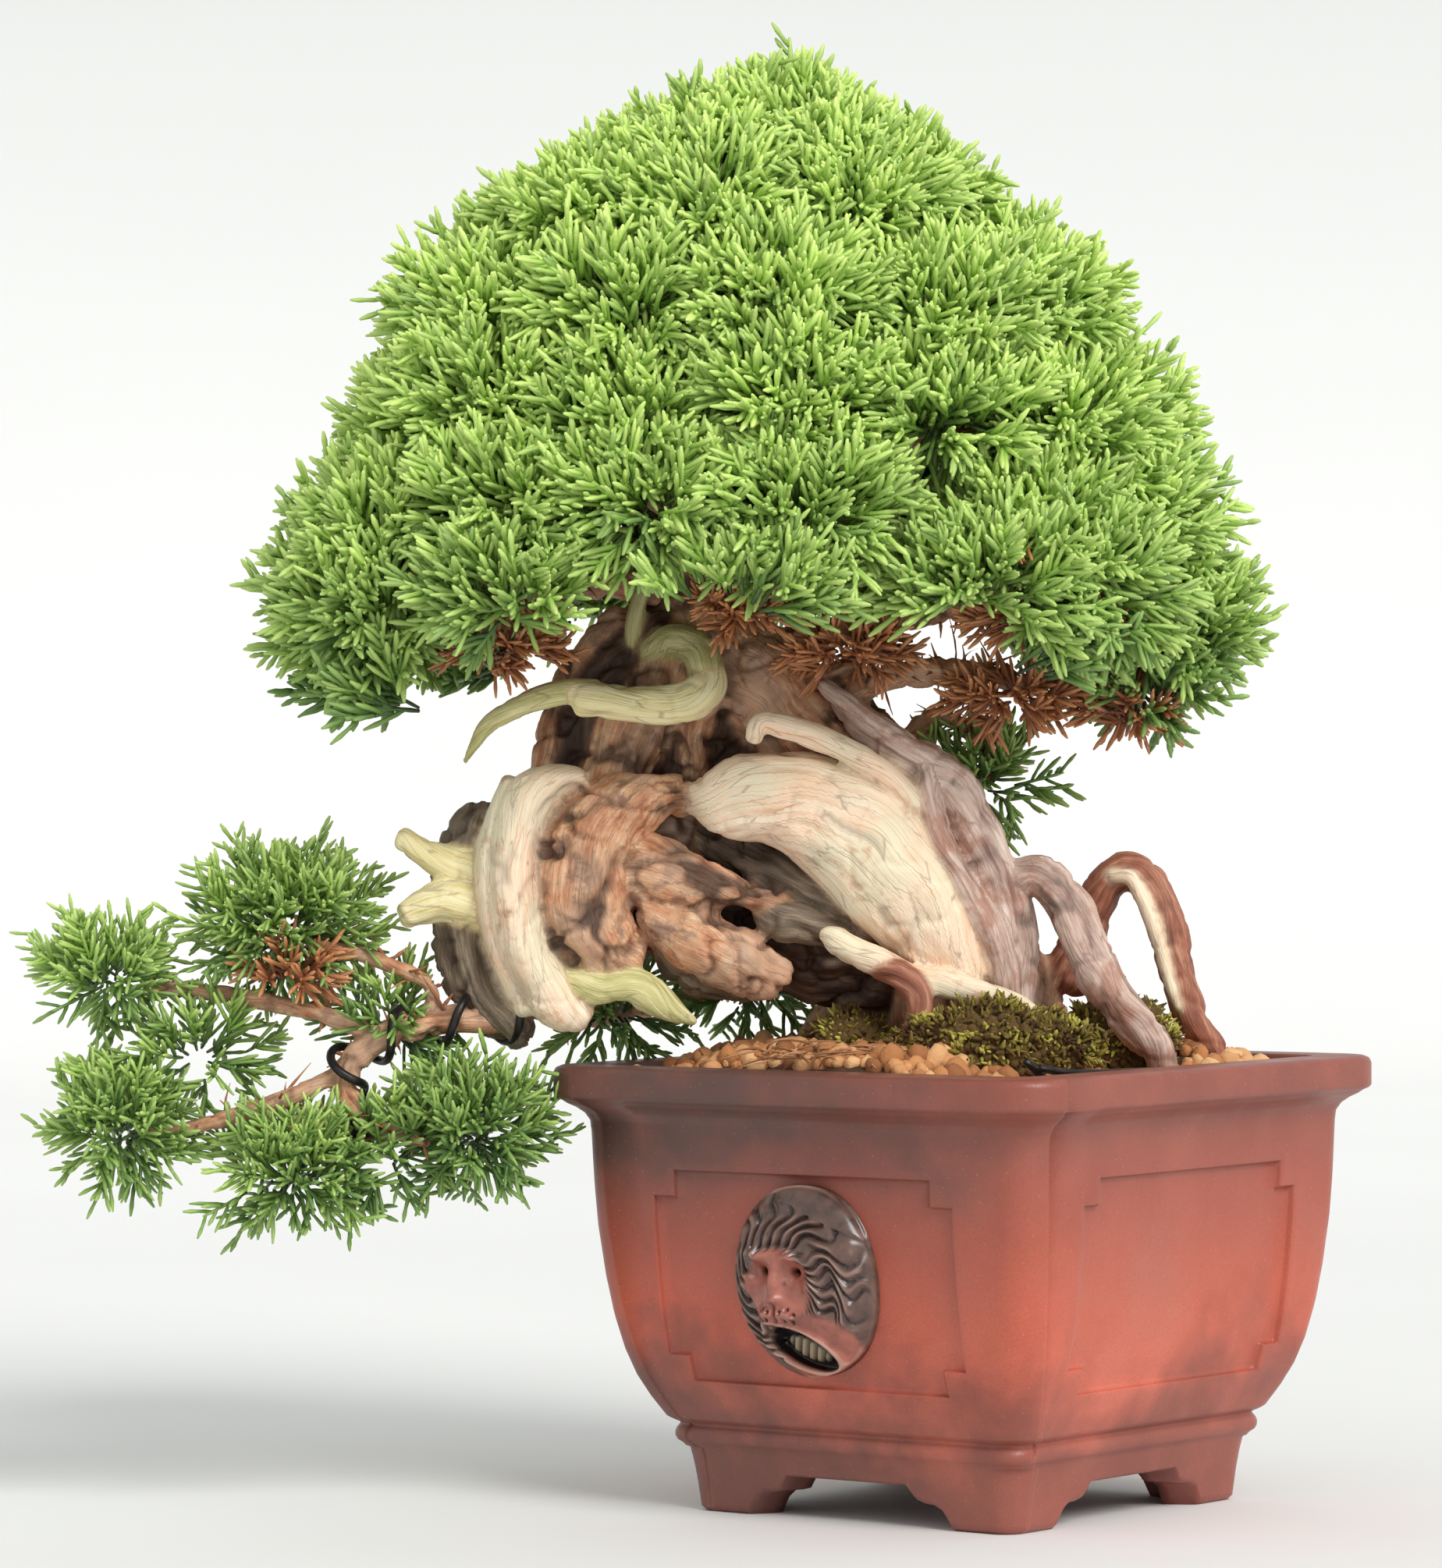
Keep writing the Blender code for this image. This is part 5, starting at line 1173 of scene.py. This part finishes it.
def make_wood():
    material = wood_material("wood")
    trunk = joined_skin("trunk", [stations for _, stations in TRUNK_LIMBS])
    carve_wood(trunk, [stations for _, stations in TRUNK_LIMBS],
               [FINISHES[finish] for finish, _ in TRUNK_LIMBS], 11)
    finish_piece(trunk, material, ["tree"])
    thin = [[(x, y, z, radius * (BRANCH_SHARE if z > 120 else 1.0)) for x, y, z, radius in stations]
            for stations in BRANCH_LIMBS]
    branches = joined_skin("branches", thin)
    carve_wood(branches, thin, [FINISHES["bark"]] * len(thin), 23)
    finish_piece(branches, material)


# ---------------------------------------------------------------- lion masks

MASK_HALF = (15.0, 17.2)              # millimetres across and up
MASK_RINGS, MASK_SPOKES = 84, 216


def hill(x, z, centre_x, centre_z, wide, high):
    """A rounded bump one unit high."""
    return np.exp(-((x - centre_x) / wide) ** 2 - ((z - centre_z) / high) ** 2)


def lion_relief(x, z):
    """A lion's head with an open mouth: its height in millimetres over the panel, how far out
    of the mouth each place is, and how much it is face or tongue."""
    out = np.hypot(x / MASK_HALF[0], z / MASK_HALF[1])
    height = 5.2 * np.sqrt(np.clip(1 - out ** 2.8, 0, 1))
    u = x + 2.4
    away, turn = np.hypot(x + 1.0, z + 1.5), np.arctan2(z + 1.5, x + 1.0)
    face = 1 - blend_in(np.hypot(u / 7.6, (z + 0.8) / 7.4), 0.80, 1.02)
    jaw = (1 - blend_in(np.hypot((x - 3.4) / 8.4, (z + 10.6) / 8.0), 0.86, 1.0)) * (1 - face)
    jaw *= 1 - blend_in(z + 0.35 * x, -4.5, -2.5)
    cap = blend_in(0.42 * x + z, 12.6, 13.6)
    spiral = turn + 0.9 * np.log(np.maximum(away, 1.0))
    broken = noise(np.stack([turn * 2.6, away / 2.4, x * 0], axis=-1).reshape(-1, 3), 71)
    broken = broken.reshape(x.shape)
    strands = np.abs(np.sin(12 * spiral + 1.9 * broken + 0.9 * np.sin(1.1 * away)))
    mane = (strands ** 0.8 - 0.62 + 0.5 * broken) * 1.3 * blend_in(1.0 - out, 0.0, 0.14)
    height += (1 - face) * (1 - jaw) * (1 - cap) * mane + 0.5 * cap + 0.4 * jaw
    height += 0.7 * face
    for side in (-1, 1):
        v = u * side
        # The eye's socket, ball and pupil, then the brow, the cheek and the muzzle with its spots.
        height -= 1.8 * hill(v, z, 4.0, 1.6, 2.1, 1.5) - 0.9 * hill(v, z, 3.8, 1.8, 1.1, 0.9)
        height -= 2.4 * hill(v, z, 3.5, 1.9, 0.62, 0.62)
        height += 1.7 * hill(v, z, 4.4, 4.6, 2.8, 1.1) + 1.2 * hill(v, z, 6.9, 0.4, 1.4, 2.6)
        height += 2.3 * hill(v, z, 2.1, -5.4, 2.3, 1.7)
        for spot_x, spot_z in ((1.3, -4.9), (2.6, -4.5), (3.6, -5.3), (1.9, -6.3), (3.1, -6.5)):
            height -= 1.1 * hill(v, z, spot_x, spot_z, 0.34, 0.34)
    # The nose, the groove under it, and the mouth.
    height += 2.2 * hill(u, z, 0, 0.0, 1.5, 3.6) + 1.2 * hill(u, z, 0, -2.8, 1.9, 0.9)
    height -= 1.2 * hill(u, z, 0, -5.2, 0.4, 1.6)
    slope = z + 11.4 + 0.30 * (x - 0.2)
    hole = np.hypot((x - 0.2) / 6.6, slope / 3.4)
    lip = np.exp(-((hole - 1.12) / 0.13) ** 2)
    height += 0.9 * lip - (1 - blend_in(hole, 0.82, 1.0)) * 3.4
    tongue = (1 - blend_in(hole, 0.45, 0.75)) * (np.abs(np.sin(1.9 * x - 0.8 * z)) + 0.4)
    return np.maximum(height + 1.1 * tongue, 0.3), hole, np.maximum(face, jaw), tongue


def mask_material():
    """Dark glossy clay, redder on the face, paler on the raised points, partly worn and partly painted
    highlight, with painted shade in the grooves, eye pits and mouth.
    """
    made, tree, shader = new_material("mask_clay", 0.3, Coat_Weight=0.35, Coat_Roughness=0.2)
    place = place_in(tree)
    blotch = texture(tree, "Noise", place, 420.0, Detail=4.0)
    high, red, pale = (attribute(tree, name) for name in ("high", "red", "pale"))
    dark = mix(tree, grade(tree, blotch, 0.35, 0.65), srgb(74, 56, 50), srgb(104, 76, 66))
    face = mix(tree, grade(tree, blotch, 0.35, 0.65), srgb(140, 78, 64), srgb(168, 98, 82))
    tinted = mix(tree, red, dark, face)
    # Paler on the raised points: partly wear, partly painted highlight.
    tinted = mix(tree, grade(tree, high, 0.20, 0.65, 0.0, 0.6), tinted, srgb(206, 168, 150))
    # Painted shade: near black in the grooves, eye pits and mouth.
    tinted = mix(tree, grade(tree, high, -0.10, -0.55, 0.0, 0.95), tinted, srgb(18, 16, 17))
    tinted = mix(tree, pale, tinted, srgb(176, 160, 128))
    tree.links.new(tinted, shader.inputs["Base Color"])
    tree.links.new(grade(tree, blotch, 0.3, 0.7, 0.22, 0.42), shader.inputs["Roughness"])
    tree.links.new(bump(tree, blotch, 0.25, 0.0002), shader.inputs["Normal"])
    return made


def make_mask(side, facing, material):
    """A mask on the wall that faces -Y, turned to its own wall."""
    node_name = f"lion_mask_{side}"
    low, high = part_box(node_name)
    middle = (low.z + high.z) / 2
    share = np.append(np.linspace(0.02, 1, MASK_RINGS) ** 0.85, 1.0)
    angles = np.arange(MASK_SPOKES) * tau / MASK_SPOKES
    x = np.outer(share, np.cos(angles)) * MASK_HALF[0]
    z = np.outer(share, np.sin(angles)) * MASK_HALF[1]
    z *= 1 + 0.05 * np.sin(2 * angles + 0.9)
    height, hole, red, tongue = lion_relief(x, z)
    height[-1] = -1.6
    level = middle + z * MM
    wall = RIM_HALF - np.interp(level, OUTSIDE[:, 0], OUTSIDE[:, 1]) - PANEL_DEPTH
    points = np.stack([x * MM, -wall - height * MM, level], axis=-1).reshape(-1, 3)
    quads = grid_faces(len(share), MASK_SPOKES)[:, ::-1]
    caps = [np.arange(MASK_SPOKES)[None], len(points) - 1 - np.arange(MASK_SPOKES)[None]]
    turned = points @ np.array(Matrix.Rotation(facing, 3, "Z")).T
    piece = mesh_piece(f"mask_{side}", placed(turned, POT_AXES), [quads, *caps],
                       material, [node_name])
    smooth = softened(piece.data, height.ravel(), 14)
    # Height over its smoothed self, pushed down in the mouth: the material paints highlight on the raised
    # points and shade in grooves and the mouth from it.
    point_values(piece.data, "high", height.ravel() - smooth
                 - 1.4 * (1 - blend_in(hole.ravel(), 0.85, 0.98)))
    point_values(piece.data, "red", red.ravel())
    point_values(piece.data, "pale", np.clip(tongue.ravel() - 0.5, 0, 0.8))


# ---------------------------------------------------------------- soil, moss and fine roots

SOIL_HALF = RIM_HALF - RIM_LIP - 0.0004
SOIL_LEVEL = 0.0740
SOIL_MOUND = 0.0058
BED_STEPS = 70
GRAIN_COUNT, GRAIN_SHAPES = 2300, 24
CORE_CORDS = 500
# Each cushion's centre and half sizes.
MOSS_CLUMPS = {
    "moss_front": ((5, -25, 80), (19, 8, 9)),
    "moss_right": ((27, -5, 80), (10, 9, 10)),
    "moss_left": ((-20, -8, 79), (8, 7, 8)),
}


def soil_height(x, y):
    """Height of the soil bed at places in the pot's axes."""
    out = np.hypot(x, y) / SOIL_HALF
    rough = noise(np.stack([x * 260, y * 260, x * 0], axis=-1).reshape(-1, 3), 5).reshape(x.shape)
    beside_wire = blend_in(x, 0.014, 0.030) * blend_in(-y, -0.020, -0.012)
    mound = SOIL_MOUND * (1 - 0.92 * beside_wire) * np.exp(-(out / 1.12) ** 8)
    return SOIL_LEVEL + mound + rough * 0.0005


def shade_map(mesh, shade):
    """A map whose only use is each part's shade."""
    lane_map(mesh, np.full(len(shade), 0.5), shade)


def lane_material(name, roughness, pitch, low, middle, high):
    """A grainy surface whose colour is each small part's shade in its own map."""
    made, tree, shader = new_material(name, roughness)
    where = node(tree, "UVMap", uv_map="OFBake").outputs[0]
    shade = node(tree, "SeparateXYZ", {"Vector": where}).outputs["Y"]
    tree.links.new(ramp(tree, shade, (0.05, srgb(*low)), (0.5, srgb(*middle)),
                        (0.95, srgb(*high))), shader.inputs["Base Color"])
    grit = texture(tree, "Noise", place_in(tree), pitch, Detail=3.0)
    tree.links.new(bump(tree, grit, 0.6, 0.0004), shader.inputs["Normal"])
    return made


def make_soil_bed():
    """A rough bed of soil with a skirt down its sides."""
    run = np.linspace(-1, 1, BED_STEPS + 1) * SOIL_HALF
    x, y = np.meshgrid(run, run, indexing="ij")
    top = np.stack([x, y, soil_height(x, y)], axis=-1).reshape(-1, 3)
    count = BED_STEPS + 1
    quads = grid_faces(count, count, columns_close=False)[:, ::-1]
    step = np.arange(BED_STEPS)
    edge = np.concatenate([step * count, BED_STEPS * count + step,
                           BED_STEPS * (count + 1) - step * count, BED_STEPS - step])
    skirt = top[edge] * (0.985, 0.985, 0) + (0, 0, SOIL_LEVEL - 0.010)
    low = len(top) + np.arange(len(edge))
    after = np.roll(np.arange(len(edge)), -1)
    sides = np.stack([edge[after], edge, low, low[after]], -1)
    material = lane_material("soil_dark", 0.95, 900.0, (52, 34, 24), (74, 50, 34), (98, 66, 44))
    bed = mesh_piece("soil_bed", placed(np.vstack([top, skirt]), POT_AXES),
                     [quads, sides, low[None]], material, ["soil"])
    shade_map(bed.data, np.append(0.5 + 0.5 * noise(top * 500, 9), np.full(len(edge), 0.3)))


def ball_mesh():
    """Points and faces of a small round ball of unit radius."""
    ball = bmesh.new()
    bmesh.ops.create_icosphere(ball, subdivisions=2, radius=1.0)
    points = np.array([v.co for v in ball.verts])
    faces = np.array([[v.index for v in f.verts] for f in ball.faces])
    ball.free()
    return points, faces


def make_grains():
    """The fired clay grains that lie on the bed."""
    rng = np.random.default_rng(31)
    sphere, faces = ball_mesh()
    reach = SOIL_HALF - 0.0022
    place = rng.uniform(-reach, reach, (GRAIN_COUNT, 2))
    size = 0.0006 + 0.0019 * rng.beta(1.4, 2.4, GRAIN_COUNT)
    level = soil_height(place[:, 0], place[:, 1]) + size * rng.uniform(-0.1, 0.55, GRAIN_COUNT)
    stretch = rng.uniform(0.75, 1.25, (GRAIN_COUNT, 1, 3))
    knobbly = np.stack([1 + 0.28 * noise(sphere * 1.7 + i * 4.1, 13) for i in range(GRAIN_SHAPES)])
    order = np.arange(GRAIN_COUNT)
    shapes = sphere[None] * stretch * knobbly[order % GRAIN_SHAPES][..., None]
    centres = np.column_stack([place, level])
    points = (shapes * size[:, None, None] + centres[:, None]).reshape(-1, 3)
    all_faces = (faces[None] + (order * len(sphere))[:, None, None]).reshape(-1, 3)
    material = lane_material("akadama", 0.95, 1500.0, (122, 74, 44), (196, 134, 84),
                             (232, 184, 132))
    grains = mesh_piece("soil_grains", placed(points, POT_AXES), [all_faces], material)
    shade_map(grains.data, np.repeat(rng.beta(2.0, 1.6, GRAIN_COUNT), len(sphere)))


def make_moss():
    """Cushions of short tufts, each round a dark core of thick cords."""
    material = lane_material("moss", 0.95, 2500.0, (84, 54, 32), (128, 114, 44), (200, 192, 92))
    rng = np.random.default_rng(41)
    for name, (centre, halves) in MOSS_CLUMPS.items():
        facing = sphere_directions(int(46 * halves[0] * halves[1] ** 0.5), rng)
        facing = facing[facing[:, 2] > -0.2]
        uneven = 1 + 0.16 * noise(facing * 3.1, 17) + 0.08 * noise(facing * 8.0, 18)
        base = np.array(centre) + facing * np.array(halves) * (uneven[:, None] * 0.97 - 0.06)
        count = len(base)
        axis = unit(facing / np.array(halves) + rng.normal(0, 0.05, facing.shape))
        tufts = dict(base=base, direction=axis, bend=rng.normal(0, 0.3, (count, 3)),
                     length=rng.uniform(0.8, 1.9, count), radius=rng.uniform(0.28, 0.5, count),
                     start=np.zeros(count), rings=3, taper=0.5,
                     shade=np.clip(0.48 + 0.6 * noise(base / 2.6, 19)
                                   + rng.normal(0, 0.2, count), 0, 1))
        seat = sphere_directions(CORE_CORDS, rng)
        each = np.ones(CORE_CORDS)
        core = dict(base=np.array(centre) + seat * np.array(halves) * 0.52, direction=seat,
                    bend=seat * 0, length=each * 0.40 * halves[2], radius=each * 1.5,
                    start=each * 0, rings=3, knobs=0.0, shade=each * 0.12)
        cords_piece(f"{name}_tufts", [tufts, core], material, [name])


def make_fine_roots():
    """Hair roots lying on the soil in front of the tree."""
    rng = np.random.default_rng(53)
    count = 90
    base = np.column_stack([rng.uniform(-36, -14, count), rng.uniform(-36, -24, count),
                            rng.uniform(79.6, 81.8, count)])
    turn = rng.uniform(0, tau, count)
    axis = np.column_stack([np.cos(turn), 0.5 * np.sin(turn), rng.uniform(-0.05, 0.35, count)])
    bend = rng.normal(0, 0.5, (count, 3)) * (1, 1, 0.2) - (0, 0, 0.3)
    roots = dict(base=base, direction=axis, bend=bend,
                 length=rng.uniform(3, 8, count), radius=rng.uniform(0.14, 0.3, count),
                 start=np.zeros(count), rings=7, knobs=0.05, taper=0.5,
                 shade=rng.uniform(0.2, 0.9, count))
    cords_piece("fine_roots", [roots],
                lane_material("root_hair", 0.85, 1500.0, (110, 70, 44), (168, 116, 76),
                              (206, 158, 116)))


# ---------------------------------------------------------------- wires and drainage mesh

def wire_material(name):
    """Black annealed wire with a faint brown bloom."""
    made, tree, shader = new_material(name, 0.36, Metallic=0.35)
    bloom = texture(tree, "Noise", place_in(tree), 500.0, Detail=3.0)
    tree.links.new(ramp(tree, bloom, (0.4, srgb(22, 22, 24)), (0.75, srgb(58, 50, 46))),
                   shader.inputs["Base Color"])
    tree.links.new(bump(tree, bloom, 0.15, 0.0001), shader.inputs["Normal"])
    return made


def mesh_plastic_material():
    """Black plastic with soil dust on it."""
    made, tree, shader = new_material("mesh_plastic", 0.55)
    dust = texture(tree, "Noise", place_in(tree), 700.0, Detail=3.0)
    tree.links.new(ramp(tree, dust, (0.45, srgb(26, 28, 28)), (0.8, srgb(92, 72, 56))),
                   shader.inputs["Base Color"])
    tree.links.new(bump(tree, dust, 0.2, 0.0001), shader.inputs["Normal"])
    return made


def make_hardware():
    """The wires and the clip as rounded copies of the CAD's; the drainage mesh as it is."""
    wire = wire_material("black_wire")
    for name, rounding in (("tie_wire", 2), ("training_wire", 2), ("mesh_clip", 1)):
        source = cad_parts[name]
        piece = bpy.data.objects.new(f"{name}_round", source.data.copy())
        piece.matrix_world = source.matrix_world.copy()
        weld = piece.modifiers.new("weld", "WELD")
        weld.merge_threshold = 0.00001
        round_off = piece.modifiers.new("round", "SUBSURF")
        round_off.levels = round_off.render_levels = rounding
        piece.data.shade_smooth()
        finish_piece(piece, wire, [name])
    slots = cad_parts["drainage_mesh"].data.materials
    slots.clear()
    slots.append(mesh_plastic_material())


# ---------------------------------------------------------------- assembly

make_camera()
make_lights()
make_floor()
make_pot()
mask_clay = mask_material()
make_mask("front", 0.0, mask_clay)
make_mask("back", pi, mask_clay)
make_hardware()
make_soil_bed()
make_grains()
make_moss()
make_fine_roots()
make_wood()
make_foliage()
make_dead_sprays()
